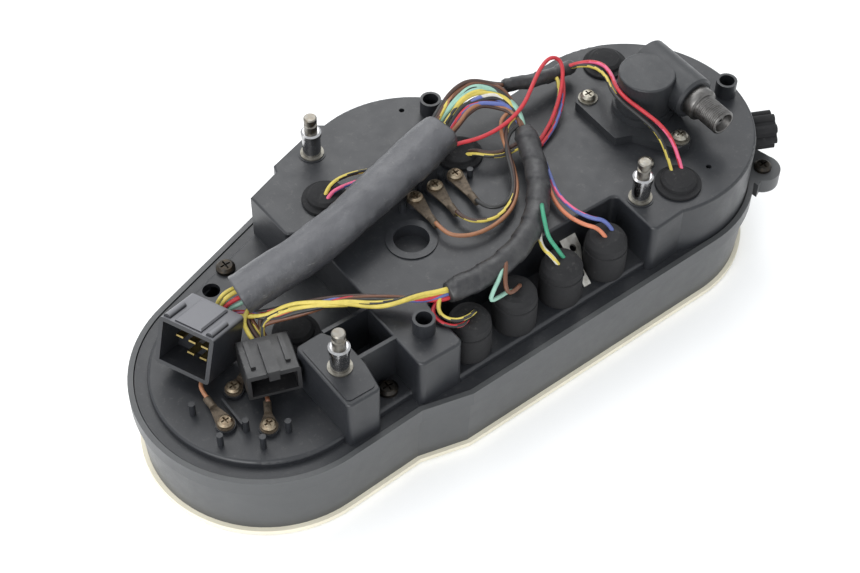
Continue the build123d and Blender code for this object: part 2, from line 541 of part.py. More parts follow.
def make_needle(name, length, spindle_top):
    """Pointer, hub and cap in one moulding, on their spindle."""
    (x, y), _ = GAUGES[name]
    blade = polygon(((-12.0, -1.5), (-12.0, 1.5), (0.0, 1.7), (length - 2.0, 0.5), (length, 0.0),
                     (length - 2.0, -0.5), (0.0, -1.7)))
    blade = prism(Rot(0, 0, ZERO_ANGLE[name]) * blade, NEEDLE_Z + 0.4, NEEDLE_Z + 1.4)
    pointer = Pos(x, y, 0) * blade + disc(x, y, 4.4, NEEDLE_Z, NEEDLE_Z + 2.6) - disc(x, y, SPINDLE_R, 0, 30)
    cap = turned(((0, NEEDLE_Z - 2.2), (4.6, NEEDLE_Z - 2.2), (6.2, NEEDLE_Z - 1.2), (6.2, NEEDLE_Z),
                  (0, NEEDLE_Z)), x, y)
    node(name + "_needle", pointer + cap)
    if name == "speed":
        cup = turned(((0, 24.6), (12.2, 24.6), (12.2, 31.4), (11.3, 31.4), (11.3, 25.4), (0, 25.4)), x, y)
        node("speed_cup", cup + disc(x, y, SPINDLE_R, NEEDLE_Z, 25.0))
    else:
        node(name + "_spindle", disc(x, y, SPINDLE_R, NEEDLE_Z, spindle_top))


def make_speedometer():
    x, y = DRIVE
    frame = disc(x, y, 34.0, PLATE_Z, PLATE_Z + 2)
    for side in (1, -1):
        frame -= window(x, y + side * DRUM_OFFSET, 33.0, 2 * DRUM_R + 2, 0, 30)
        frame += block(x + side * 18.5 - 1, x + side * 18.5 + 1, y - 27, y + 27, PLATE_Z, 35.0)
    frame += disc(x, y, 4.2, 16.2, 24.0)
    frame += block(x - 19.5, x + 19.5, y - 7, y + 7, 33.0, 35.0)
    frame -= disc(x, y, SPINDLE_R + RUN_GAP, 0, 26)
    frame -= disc(x, y, 1.6 + RUN_GAP, 32, 36)
    for side in (1, -1):
        frame -= rod((x - 25, y + side * DRUM_OFFSET, DRUM_Z), (x + 25, y + side * DRUM_OFFSET, DRUM_Z), 1.5)
    node("speedometer_frame", frame)
    axles = []
    for name, side, count in (("odometer", 1, 6), ("trip", -1, 4)):
        drums = []
        for i in range(count):
            middle = x + (i - (count - 1) / 2) * DRUM_PITCH
            start = (middle - DRUM_PITCH / 2 + 0.2, y + side * DRUM_OFFSET, DRUM_Z)
            end = (middle + DRUM_PITCH / 2 - 0.2, y + side * DRUM_OFFSET, DRUM_Z)
            drums.append(rod(start, end, DRUM_R) - rod((x - 30, *start[1:]), (x + 30, *start[1:]), 1.5 + RUN_GAP))
        node(name + "_drums", *drums)
        axle_y = y + side * DRUM_OFFSET
        axles.append(rod((x - 22.5, axle_y, DRUM_Z), (x + 22.5, axle_y, DRUM_Z), 1.5))
    node("drum_axles", *axles)


def make_movements():
    x, y = TACH
    can = disc(x, y, 34.0, PLATE_Z, PLATE_Z + 2) + disc(x, y, 24.0, PLATE_Z, 40.0)
    node("tach_movement", can - disc(x, y, SPINDLE_R + RUN_GAP, 0, 32))
    tach_board = disc(x, y, 33.0, 40.0, 41.6)
    studs = [disc(tx, ty, 1.9, 41.6, DECK_Z + 2) for tx, ty in TACH_SCREWS]
    x, y = TEMP
    can = disc(x, y, 25.0, PLATE_Z, PLATE_Z + 2) + disc(x, y, 15.4, PLATE_Z, 33.0)
    node("temp_movement", can - disc(x, y, SPINDLE_R + RUN_GAP, 0, 28))
    temp_board = disc(x, y, 38.4, 33.0, 34.6) - disc(*LOW_LAMP, 6.2, 30, 40)
    node("gauge_boards", tach_board, temp_board)
    studs += [disc(tx, ty, 1.9, 34.6, FLOOR_Z + 2) for tx, ty in TEMP_SCREWS]
    node("terminal_studs", *studs)


# ---- lamps -------------------------------------------------------------------------------------
def tall_boot(x, y):
    z = FLOOR_Z
    profile = ((5.4, z - 3), (7.3, z - 3), (7.3, z), (9.5, z), (9.7, z + 1), (9.7, z + 14.4),
               (9.1, z + 14.8), (9.5, z + 15.4), (9.2, z + 18.6), (7.8, z + 21.0), (5.5, z + 22), (0, z + 22),
               (0, z + 17), (5.4, z + 17))
    return turned(profile, x, y)


def flush_holder(x, y, z):
    profile = ((5.4, z - 3), (7.3, z - 3), (7.3, z), (10.4, z), (10.6, z + 0.6), (10.4, z + 1.4),
               (8.2, z + 1.8), (8.0, z + 3.4), (6.6, z + 4.6), (4.0, z + 5), (0, z + 5), (0, z + 2), (5.4, z + 2))
    return turned(profile, x, y)


def make_lamps():
    node("tall_lamp_boots", *[tall_boot(x, y) for x, y in TALL_LAMPS])
    flush = [(x, y, DECK_Z) for x, y in FLUSH_LAMPS] + [(*LOW_LAMP, FLOOR_Z)]
    node("flush_lamp_holders", *[flush_holder(*p) for p in flush])
    heights = [(x, y, FLOOR_Z + 17) for x, y in TALL_LAMPS] + [(x, y, z + 2) for x, y, z in flush]
    node("bulb_bases", *[disc(x, y, 5.3, z - 8, z) for x, y, z in heights])
    bulbs = []
    for x, y, z in heights:
        bulbs.append(turned(((0, z - 8), (4.4, z - 8), (4.4, z - 15), (3.2, z - 17.6), (0, z - 18.6)), x, y))
    node("lamp_bulbs", *bulbs)


def make_bracket():
    plan = polygon(((32.4, -43.6), (41.0, -43.6), (40.6, -49.0), (36.2, -56.0), (36.0, -62.6), (32.2, -62.6)))
    slope = Pos(36, -53.1, 50.2) * Rot(34.4, 0, 0) * Box(20, 40, 1.0)
    plate = prism(plan, FLOOR_Z, 60.0) & slope
    for x, y in ((36.6, -48.0), (34.2, -57.6)):
        plate -= disc(x, y, 1.5, FLOOR_Z - 1, 60)
    node("metal_bracket", plate)


# ---- terminals ---------------------------------------------------------------------------------
def ring_terminal(screw, crimp, z):
    """A flat ring under the screw, its tongue, and the crimp barrel round the lead."""
    angle = angle_to(screw, crimp)
    reach = hypot(crimp[0] - screw[0], crimp[1] - screw[1])
    neck = Polygon((1.0, 3.7), (1.0, -3.7), (reach - 5.6, -1.4), (reach - 5.6, 1.4), align=None)
    flat = Circle(3.9) + neck + Pos(reach / 2 - 2, 0) * Rectangle(reach - 4, 2.8) - Circle(1.9)
    tag = extrude(flat.face(), 0.8)
    barrel = Pos(reach - 6.4, 0, 1.1) * Rot(0, 90, 0) * Pos(0, 0, 2.9) * Cylinder(1.7, 5.8)
    return Pos(screw[0], screw[1], z) * Rot(0, 0, angle) * (tag + barrel)


TACH_CRIMPS = ((-13.7, -14.8), (-2.6, -14.4), (8.8, -14.2))
TEMP_CRIMPS = ((-136.6, -17.8), (-116.8, -34.6), (-114.0, -15.6))


def make_terminals():
    rings, screws = [], []
    for pairs, z in ((zip(TACH_SCREWS, TACH_CRIMPS), DECK_Z + 2), (zip(TEMP_SCREWS, TEMP_CRIMPS), FLOOR_Z + 2)):
        for screw, crimp in pairs:
            rings.append(ring_terminal(screw, crimp, z))
            screws.append(pan_screw(*screw, z + 0.8, 3.4, 2.0, 1.7, 0.8))
    node("ring_terminals", *rings)
    node("terminal_screws", *screws)


# ---- trip knob ---------------------------------------------------------------------------------
def make_knob():
    out = Vector(cos(radians(KNOB_ANGLE)), sin(radians(KNOB_ANGLE)), 0)
    back = Vector(*on_circle(SPEED, KNOB_BACK, KNOB_ANGLE), KNOB_Z)
    plane = Plane(origin=back, x_dir=(0, 0, 1), z_dir=out)
    star = Circle(KNOB_R - 1.6)
    for i in range(8):
        star += Pos(*on_circle((0, 0), KNOB_R - 2.2, i * 45.0)) * Circle(2.2)
    knob = extrude(plane * star, KNOB_LENGTH) - extrude(plane * Circle(KNOB_SHAFT_R), 5)
    node("trip_knob", knob)
    inner = Vector(*on_circle(SPEED, KNOB_BACK - 20, KNOB_ANGLE), KNOB_Z)
    shaft = extrude(Plane(origin=inner, z_dir=out) * Circle(KNOB_SHAFT_R), 25)
    shaft += extrude(Plane(origin=inner, z_dir=out) * Circle(5.0), 3)
    node("trip_shaft", shaft)


# ---- harness -----------------------------------------------------------------------------------
def tube(name, route, r):
    """A lead along straight runs joined by tangent arcs as large as the runs allow."""
    points = [Vector(*p) for p in route]
    radii = []
    for a, b, c in zip(points, points[1:], points[2:]):
        turn = radians((b - a).get_angle(c - b))
        radii.append(0.45 * min((b - a).length, (c - b).length) / tan(turn / 2))
    path = FilletPolyline(*points, radius=radii)
    solid = sweep(Plane(origin=path @ 0, z_dir=path % 0) * Circle(r), path=path)
    share = solid.volume / (pi * r * r * path.length)
    print(f"{name}: {path.length:.0f} mm, smallest radius {min(radii):.1f} mm, volume {share:.3f} of section x length")
    return solid


def make_harness():
    node("harness_loom", tube("harness_loom", LOOM, LOOM_R), tube("harness_loom", BRANCH, BRANCH_R))
    node("harness_sleeve", tube("harness_sleeve", SLEEVE, SLEEVE_TUBE_R))
    node("wire_arch", tube("wire_arch", ARCH, ARCH_R))
    node("wire_return", tube("wire_return", RETURN, RETURN_R))
    for name, routes in LEADS.items():
        node(name, *[tube(name, route, LEAD_R) for route in routes])
    node("terminal_leads", *[tube("terminal_leads", route, TERMINAL_LEAD_R) for route in TACH_LEADS + TEMP_LEADS])


# Each connector is drawn with its mouth at the origin, its body along +X and its top towards +Z.
LEFT_PLUG = (Vector(-136.6, -3.5, 63.8), 24.5, 19.0)
RIGHT_PLUG = (Vector(-113.4, -36.6, 58.8), 71.0, 8.0)


def placed(plug, shape):
    """Turn a connector to its heading, mouth raised by its tilt, and put its mouth in place."""
    middle, heading, tilt = plug
    return Pos(middle.X, middle.Y, middle.Z) * Rot(0, 0, heading) * Rot(0, tilt, 0) * shape


def make_plugs():
    length, w, h = 23.0, 27.0, 23.4
    shell = Pos(length / 2, 0, 0) * Box(length, w, h)
    shell = fillet(shell.edges().filter_by(Axis.X), 1.8)
    shell -= Pos(7.0, 0, 0) * Box(14.2, w - 4, h - 4)
    platform = Pos(11.0, 0, h / 2 + 0.2) * Box(20, 13.0, 2.4)
    shell += chamfer(platform.edges().group_by(Axis.Z)[-1], 0.7)
    for y in (-w / 2 + 3.0, w / 2 - 3.0):
        shell += Pos(7.0, 0, 0) * Pos(0, y, h / 2) * Rot(0, 90, 0) * Cylinder(1.7, 12)
    node("left_connector", placed(LEFT_PLUG, shell))
    blades = []
    for column, row in ((-6.2, -4.4), (0.0, -4.4), (-6.2, 1.4), (0.0, 1.4), (6.2, 1.4)):
        blades.append(placed(LEFT_PLUG, Pos(9.9, column, row) * Box(8.4, 3.4, 0.9)))
    node("left_connector_blades", *blades)
    length, w, h = 22.5, 23.0, 12.6
    shell = Pos(length / 2, 0, 0) * Box(length, w, h)
    shell = fillet(shell.edges().filter_by(Axis.X), 0.8)
    shell -= Pos(5.5, 0, -0.4) * Box(11.2, w - 3.4, h - 3.6)
    shell += Pos(8.4, 0, h / 2 + 0.9) * Box(19.0, 5.4, 1.8)
    shell += Pos(-0.7, 0, h / 2 - 0.7) * Box(1.4, 4.6, 5.0)
    for y in (-7.4, 7.4):
        shell += Pos(12.6, y, h / 2 + 0.4) * Box(16.0, 2.0, 1.6)
    node("right_connector", placed(RIGHT_PLUG, shell))
    node("connector_leads",
         *[tube("connector_leads", route, LEAD_R) for route in CONNECTOR_LEADS])


make_lens()
make_front_cover()
make_rear_case()
make_studs()
make_screws()
make_gearbox()
make_drive()
make_mask()
make_carrier()
make_dials()
make_needle("speed", 38.0, 0)
make_needle("tach", 40.0, 30.0)
make_needle("temp", 33.0, 26.0)
make_speedometer()
make_movements()
make_lamps()
make_bracket()
make_terminals()
make_knob()
make_harness()
make_plugs()

for name, shape in made.items():
    export_step(shape, f"parts/{name}.step")
print(len(made), "nodes")
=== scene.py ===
"""Looks of the motorcycle instrument cluster: metres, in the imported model's frame."""

from math import cos, pi, radians, sin
from random import Random

import bpy
from mathutils import Matrix, Vector, noise


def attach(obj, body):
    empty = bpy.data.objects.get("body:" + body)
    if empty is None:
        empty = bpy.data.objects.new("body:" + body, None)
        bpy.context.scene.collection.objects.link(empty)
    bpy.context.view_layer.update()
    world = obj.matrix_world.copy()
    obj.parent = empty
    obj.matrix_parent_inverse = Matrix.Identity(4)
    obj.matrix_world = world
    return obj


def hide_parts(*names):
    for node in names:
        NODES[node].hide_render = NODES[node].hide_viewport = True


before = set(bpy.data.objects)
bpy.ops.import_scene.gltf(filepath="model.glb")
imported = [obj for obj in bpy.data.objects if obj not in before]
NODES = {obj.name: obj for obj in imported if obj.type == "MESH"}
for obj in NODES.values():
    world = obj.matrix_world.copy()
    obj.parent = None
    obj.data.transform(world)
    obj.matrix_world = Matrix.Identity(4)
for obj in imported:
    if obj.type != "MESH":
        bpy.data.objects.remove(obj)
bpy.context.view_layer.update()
MM = 0.001
scene = bpy.context.scene


# ---- camera, floor, light ----------------------------------------------------------------------
LOOK = (0.3864, 0.5146, -0.7655)
CAMERA_PLACE = (-0.3289, -0.4294, 0.650)
CAMERA_ROLL = 0.76  # degrees
SENSOR_WIDTH, FOCAL_LENGTH = 36.0, 74.7
FLOOR_Z = -0.0003  # just under the lens, so that the two faces don't coincide
FLOOR_CORNERS = ((-4, -4), (4, -4), (4, 4), (-4, 4))
PAPER = (0.93, 0.93, 0.925)
SKY, SKY_STRENGTH = (0.955, 0.978, 1.0), 1.1
LAMPS = (  # name, place, aim, size, watts
    ("far_box", (0.50, 0.80, 0.95), (0.02, 0.03, 0.06), (0.9, 0.6), 5),
    ("key", (-0.35, 0.65, 1.15), (0, 0, 0.04), (0.8, 0.6), 4),
    ("fill", (-1.1, -0.6, 0.6), (0, 0, 0.03), (1.0, 0.7), 12),
)


def make_camera():
    forward = Vector(LOOK).normalized()
    level = forward.cross(Vector((0, 0, 1))).normalized()
    rise = level.cross(forward)
    roll = radians(CAMERA_ROLL)
    right = level * cos(roll) + rise * sin(roll)
    up = rise * cos(roll) - level * sin(roll)
    data = bpy.data.cameras.new("camera")
    data.sensor_width = SENSOR_WIDTH
    data.lens = FOCAL_LENGTH
    data.clip_start = 0.01
    camera = bpy.data.objects.new("camera", data)
    place = Matrix((right, up, -forward)).transposed().to_4x4()
    place.translation = Vector(CAMERA_PLACE)
    camera.matrix_world = place
    scene.collection.objects.link(camera)
    scene.camera = camera


def area_light(name, place, aim, size, power):
    data = bpy.data.lights.new(name, "AREA")
    data.shape = "RECTANGLE"
    data.size, data.size_y = size
    data.energy = power
    lamp = bpy.data.objects.new(name, data)
    lamp.location = place
    lamp.rotation_euler = (Vector(aim) - Vector(place)).to_track_quat("-Z", "Y").to_euler()
    scene.collection.objects.link(lamp)


def make_studio():
    mesh = bpy.data.meshes.new("floor")
    mesh.from_pydata([(x, y, FLOOR_Z) for x, y in FLOOR_CORNERS], [], [(0, 1, 2, 3)])
    floor = bpy.data.objects.new("floor", mesh)
    scene.collection.objects.link(floor)
    paper = bpy.data.materials.new("paper")
    paper.use_nodes = True
    shader = paper.node_tree.nodes["Principled BSDF"]
    shader.inputs["Base Color"].default_value = (*PAPER, 1)
    shader.inputs["Roughness"].default_value = 0.75
    mesh.materials.append(paper)
    world = bpy.data.worlds.new("studio")
    world.use_nodes = True
    background = world.node_tree.nodes["Background"]
    background.inputs["Color"].default_value = (*SKY, 1)
    background.inputs["Strength"].default_value = SKY_STRENGTH
    scene.world = world
    for lamp in LAMPS:
        area_light(*lamp)
    scene.view_settings.view_transform = "Standard"
    scene.view_settings.exposure = 0.0


# ---- materials ---------------------------------------------------------------------------------
DUST = (0.22, 0.21, 0.195)
SCUFF = (0.22, 0.22, 0.22)
PAINTED_HIGHLIGHT = (0.20, 0.20, 0.215)
PAINTED_HIGHLIGHT_HEIGHTS = (0.059, 0.066)  # heights, in metres, where the painted highlight on tops starts and where it is full
STREAK_TURN = (0.3, 0.2, 0.7)
ALMOST_FLAT = (0.35, 0.95)  # the normal's Z where a face starts to count as a top, and fully does
PLASTIC_WAVES = 0.00012
METAL_GRAIN = 0.00002
WIRE_GRAIN = 0.00003
WIRE_DIRT = 0.35
GLASS_ROUGHNESS, GLASS_IOR = 0.03, 1.49


class Shade:
    """A node material under construction: every texture is in object space, in metres."""

    def __init__(self, name):
        self.material = bpy.data.materials.new(name)
        self.material.use_nodes = True
        self.tree = self.material.node_tree
        self.shader = self.tree.nodes["Principled BSDF"]
        self.place = self.add("ShaderNodeTexCoord").outputs["Object"]

    def add(self, kind, **values):
        node = self.tree.nodes.new(kind)
        for key, value in values.items():
            setattr(node, key, value)
        return node

    def link(self, source, target):
        self.tree.links.new(source, target)

    def noise(self, scale, detail=4.0, rough=0.55, stretch=None):
        node = self.add("ShaderNodeTexNoise")
        node.inputs["Scale"].default_value = scale
        node.inputs["Detail"].default_value = detail
        node.inputs["Roughness"].default_value = rough
        where = self.place
        if stretch:
            mapping = self.add("ShaderNodeMapping")
            mapping.inputs["Scale"].default_value = stretch
            mapping.inputs["Rotation"].default_value = STREAK_TURN
            self.link(where, mapping.inputs["Vector"])
            where = mapping.outputs["Vector"]
        self.link(where, node.inputs["Vector"])
        return node.outputs["Fac"]

    def ramp(self, source, low, high, start=0.0, end=1.0):
        node = self.add("ShaderNodeMapRange")
        node.inputs["From Min"].default_value = low
        node.inputs["From Max"].default_value = high
        node.inputs["To Min"].default_value = start
        node.inputs["To Max"].default_value = end
        self.link(source, node.inputs["Value"])
        return node.outputs["Result"]

    def multiply(self, a, b):
        node = self.add("ShaderNodeMath", operation="MULTIPLY")
        self.link(a, node.inputs[0])
        if isinstance(b, float):
            node.inputs[1].default_value = b
        else:
            self.link(b, node.inputs[1])
        return node.outputs[0]

    def mix(self, share, a, b):
        node = self.add("ShaderNodeMix", data_type="RGBA")
        self.link(share, node.inputs["Factor"])
        for value, socket in ((a, node.inputs[6]), (b, node.inputs[7])):
            if isinstance(value, tuple):
                socket.default_value = (*value, 1)
            else:
                self.link(value, socket)
        return node.outputs[2]

    def upward(self):
        """1 where the surface faces up, 0 on walls and undersides."""
        split = self.add("ShaderNodeSeparateXYZ")
        self.link(self.add("ShaderNodeNewGeometry").outputs["Normal"], split.inputs[0])
        return self.ramp(split.outputs["Z"], *ALMOST_FLAT)

    def bump(self, *layers):
        """Layers of (height, distance in metres)."""
        last = None
        for height, distance in layers:
            node = self.add("ShaderNodeBump")
            node.inputs["Strength"].default_value = 1.0
            node.inputs["Distance"].default_value = distance
            self.link(height, node.inputs["Height"])
            if last:
                self.link(last, node.inputs["Normal"])
            last = node.outputs["Normal"]
        self.link(last, self.shader.inputs["Normal"])

    def finish(self, color, roughness, metallic=0.0, specular=0.5):
        self.link(color, self.shader.inputs["Base Color"])
        self.link(roughness, self.shader.inputs["Roughness"])
        self.shader.inputs["Metallic"].default_value = metallic
        self.shader.inputs["Specular IOR Level"].default_value = specular
        return self.material


def tone(color, factor):
    """The colour made lighter or darker."""
    return tuple(min(1.0, c * factor) for c in color)


def plastic(name, base, rough=(0.42, 0.58), grain=0.00003, dust=0.0, scuffs=0.0, specular=0.5,
            painted_highlight=0.0):
    """Moulded plastic: fine grain, cloudy tone, settled dust, pale scuffs; may paint a highlight
    on tops.
    """
    s = Shade(name)
    cloud = s.ramp(s.noise(30, 3), 0.3, 0.7)
    color = s.mix(cloud, tone(base, 0.9), tone(base, 1.1))
    specks = s.multiply(s.ramp(s.noise(420, 8, 0.75), 0.56, 0.74), s.upward())
    color = s.mix(s.multiply(specks, dust), color, DUST)
    scratch = s.ramp(s.noise(90, 6, 0.7, stretch=(9.0, 0.7, 2.0)), 0.66, 0.74)
    color = s.mix(s.multiply(scratch, scuffs * 0.35), color, SCUFF)
    # painted highlight: faces that point up, above a set height, are mixed towards light grey as
    # if lit
    if painted_highlight:
        split = s.add("ShaderNodeSeparateXYZ")
        s.link(s.place, split.inputs[0])
        high = s.ramp(split.outputs["Z"], *PAINTED_HIGHLIGHT_HEIGHTS)
        color = s.mix(s.multiply(s.multiply(s.upward(), high), painted_highlight), color, PAINTED_HIGHLIGHT)
    roughness = s.ramp(s.noise(120, 6, 0.65), 0.3, 0.7, *rough)
    s.bump((s.noise(2600, 3), grain), (s.noise(40, 2), PLASTIC_WAVES))
    return s.finish(color, roughness, specular=specular)


def metal(name, base, rough=(0.2, 0.4), stain=(0.12, 0.09, 0.06), stains=0.4, metallic=1.0):
    """Plated or bare metal with stains in patches."""
    s = Shade(name)
    patches = s.ramp(s.noise(420, 7, 0.7), 0.45, 0.68)
    color = s.mix(s.multiply(patches, stains), base, stain)
    cloud = s.ramp(s.noise(130, 4), 0.3, 0.7)
    color = s.mix(s.multiply(cloud, 0.35), color, tone(base, 0.6))
    roughness = s.ramp(s.noise(520, 6, 0.7), 0.3, 0.7, *rough)
    s.bump((s.noise(3000, 4), METAL_GRAIN))
    return s.finish(color, roughness, metallic=metallic)


def insulation(name, base):
    """Wire insulation, shiny where it is clean and dull where it is dusty."""
    s = Shade(name)
    soil = s.ramp(s.noise(240, 6, 0.7), 0.42, 0.7)
    color = s.mix(s.multiply(soil, WIRE_DIRT), base, tone(base, 0.35))
    roughness = s.ramp(s.noise(300, 4), 0.3, 0.7, 0.32, 0.6)
    s.bump((s.noise(1500, 3), WIRE_GRAIN))
    return s.finish(color, roughness, specular=0.45)


def clear(name, tint):
    """Clear plastic or glass with a little haze."""
    s = Shade(name)
    haze = s.ramp(s.noise(150, 6, 0.7), 0.4, 0.8, GLASS_ROUGHNESS, GLASS_ROUGHNESS + 0.08)
    color = s.mix(s.ramp(s.noise(60, 4), 0.3, 0.7), tint, tone(tint, 0.94))
    s.shader.inputs["Transmission Weight"].default_value = 1.0
    s.shader.inputs["IOR"].default_value = GLASS_IOR
    return s.finish(color, haze)


def paint_nodes(finishes):
    """Each row names the CAD nodes that share a finish."""
    for nodes, material in finishes:
        for name in nodes.split():
            mesh = NODES[name].data
            mesh.materials.clear()
            mesh.materials.append(material)


# ---- mesh tools --------------------------------------------------------------------------------
WIRE_SIDES, TRACER_SIDES = 12, 3
WIRE_STEP = 0.0011
TRACER_RUN, TRACER_SHIFT = 0.03, 6.0  # over this way, a tracer moves round by so many sides


def piece(name, verts, faces, material, smooth=True, replaced=(), body="cluster"):
    """A finished piece, given in metres, that rides on a body."""
    mesh = bpy.data.meshes.new(name)
    mesh.from_pydata([tuple(v) for v in verts], [], faces)
    mesh.validate()
    for one in material if isinstance(material, (list, tuple)) else [material]:
        mesh.materials.append(one)
    if smooth:
        mesh.shade_smooth()
    made = bpy.data.objects.new(name, mesh)
    scene.collection.objects.link(made)
    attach(made, body)
    if replaced:
        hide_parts(*replaced)
    return made


def curve_mesh(curve):
    """Vertices and faces that a curve or text makes; the curve itself is thrown away."""
    holder = bpy.data.objects.new(curve.name, curve)
    scene.collection.objects.link(holder)
    mesh = bpy.data.meshes.new_from_object(holder)
    verts = [v.co.copy() for v in mesh.vertices]
    faces = [tuple(p.vertices) for p in mesh.polygons]
    bpy.data.objects.remove(holder)
    bpy.data.curves.remove(curve)
    bpy.data.meshes.remove(mesh)
    return verts, faces


def smooth_route(points):
    """Points along the NURBS spline whose control points are the route's, given in millimetres."""
    curve = bpy.data.curves.new("route", "CURVE")
    curve.dimensions = "3D"
    curve.resolution_u = 10
    spline = curve.splines.new("NURBS")
    spline.points.add(len(points) - 1)
    for target, p in zip(spline.points, points):
        target.co = (p[0] * MM, p[1] * MM, p[2] * MM, 1)
    spline.order_u = 3
    spline.use_endpoint_u = True
    return curve_mesh(curve)[0]


def evenly(path, step):
    """The same path with a point about every step."""
    total = sum((b - a).length for a, b in zip(path, path[1:]))
    count = max(4, round(total / step))
    spots, walked, index = [path[0].copy()], 0.0, 0
    for i in range(1, count):
        goal = total * i / count
        while walked + (path[index + 1] - path[index]).length < goal:
            walked += (path[index + 1] - path[index]).length
            index += 1
        run = path[index + 1] - path[index]
        spots.append(path[index] + run * ((goal - walked) / run.length))
    spots.append(path[-1].copy())
    return spots


def frames_along(path):
    """For each point: the point, two directions across the path, and the way walked so far."""
    heading = (path[1] - path[0]).normalized()
    across = heading.cross(Vector((0, 0, 1)))
    across = (across if across.length > 0.1 else heading.cross(Vector((1, 0, 0)))).normalized()
    walked, out = 0.0, []
    for i, p in enumerate(path):
        ahead = path[min(i + 1, len(path) - 1)] - path[max(i - 1, 0)]
        turn = heading.rotation_difference(ahead.normalized())
        across = (turn @ across).normalized()
        heading = ahead.normalized()
        if i:
            walked += (p - path[i - 1]).length
        out.append((p, across, heading.cross(across).normalized(), walked))
    return out


def skin(rings, sides, closed_ends=True):
    """Faces between rings of points, and the two end caps."""
    faces = []
    for i in range(rings - 1):
        for k in range(sides):
            a, b = i * sides + k, i * sides + (k + 1) % sides
            faces.append((a, b, b + sides, a + sides))
    if closed_ends:
        faces.append(tuple(range(sides - 1, -1, -1)))
        faces.append(tuple((rings - 1) * sides + k for k in range(sides)))
    return faces


def loose_tube(path, radius, sides):
    """Vertices of a tube; radius is a function of (way walked, angle, share of the length)."""
    verts = []
    stations = frames_along(path)
    total = stations[-1][3]
    for p, u, v, walked in stations:
        for k in range(sides):
            angle = 2 * pi * k / sides
            r = radius(walked, angle, walked / total)
            verts.append(p + (u * cos(angle) + v * sin(angle)) * r)
    return verts, skin(len(stations), sides)


def wire(name, points, r, colors, replaced=()):
    """An insulated wire; a second colour is a tracer stripe that winds slowly round it."""
    path = evenly(smooth_route(points), WIRE_STEP)
    verts, faces = loose_tube(path, lambda walked, angle, share: r * MM, WIRE_SIDES)
    made = piece(name, verts, faces, [INSULATION[c] for c in colors], replaced=replaced)
    if len(colors) > 1:
        for i in range(len(path) - 1):
            shift = int(i * WIRE_STEP / TRACER_RUN * TRACER_SHIFT)
            for k in range(WIRE_SIDES):
                if (k + shift) % WIRE_SIDES < TRACER_SIDES:
                    made.data.polygons[i * WIRE_SIDES + k].material_index = 1
    return made


def lathe(profile, place, heading, sides, ripple):
    """Vertices and faces of a turned piece: profile is (radius, way along) in millimetres.

    Ripple is added to the radius, and is a function of (way along, angle).
    """
    heading = Vector(heading).normalized()
    across = heading.orthogonal().normalized()
    other = heading.cross(across)
    verts = []
    for r, along in profile:
        for k in range(sides):
            angle = 2 * pi * k / sides
            ray = across * cos(angle) + other * sin(angle)
            spot = Vector(place) + heading * along + ray * (r + ripple(along, angle))
            verts.append(spot * MM)
    return verts, skin(len(profile), sides)


# ---- harness dimensions, in millimetres; the routes repeat the CAD's ---------------------------
WIRE_R, LEAD_R = 1.0, 0.95
LOOM_R, BRANCH_R = 5.4, 3.4
SLEEVE_R = 9.4
LOOM = ((-34.6, -49.8, 75.0), (-20.0, -51.6, 74.8), (-4.0, -50.4, 74.8), (11.0, -45.2, 74.8),
        (24.0, -36.6, 74.8), (35.0, -24.2, 75.2), (43.4, -9.6, 76.2), (48.6, 4.2, 78.6))
BRANCH = ((57.4, 31.2, 80.4), (66.0, 28.4, 79.6), (76.4, 26.6, 78.0), (87.0, 26.6, 76.0),
          (96.4, 27.6, 74.6))
SLEEVE = ((14.6, 22.4, 81.4), (-3.4, 16.8, 82.0), (-21.0, 11.4, 82.2), (-38.6, 7.6, 81.6),
          (-55.8, 2.8, 80.0), (-73.4, 2.4, 76.4), (-89.4, 4.6, 71.0), (-103.0, 6.6, 66.6))

make_camera()
make_studio()

INSULATION = {
    "brown": insulation("wire_brown", (0.115, 0.045, 0.022)),
    "dark": insulation("wire_dark_brown", (0.045, 0.022, 0.016)),
    "tan": insulation("wire_tan", (0.27, 0.12, 0.06)),
    "mint": insulation("wire_mint", (0.24, 0.42, 0.34)),
    "green": insulation("wire_green", (0.04, 0.26, 0.15)),
    "yellow": insulation("wire_yellow", (0.52, 0.42, 0.08)),
    "blue": insulation("wire_blue", (0.09, 0.12, 0.32)),
    "red": insulation("wire_red", (0.44, 0.025, 0.035)),
    "pink": insulation("wire_pink", (0.62, 0.10, 0.20)),
    "white": insulation("wire_white", (0.55, 0.54, 0.48)),
    "black": insulation("wire_black", (0.018, 0.018, 0.018)),
    "orange": insulation("wire_orange", (0.50, 0.17, 0.09)),
}


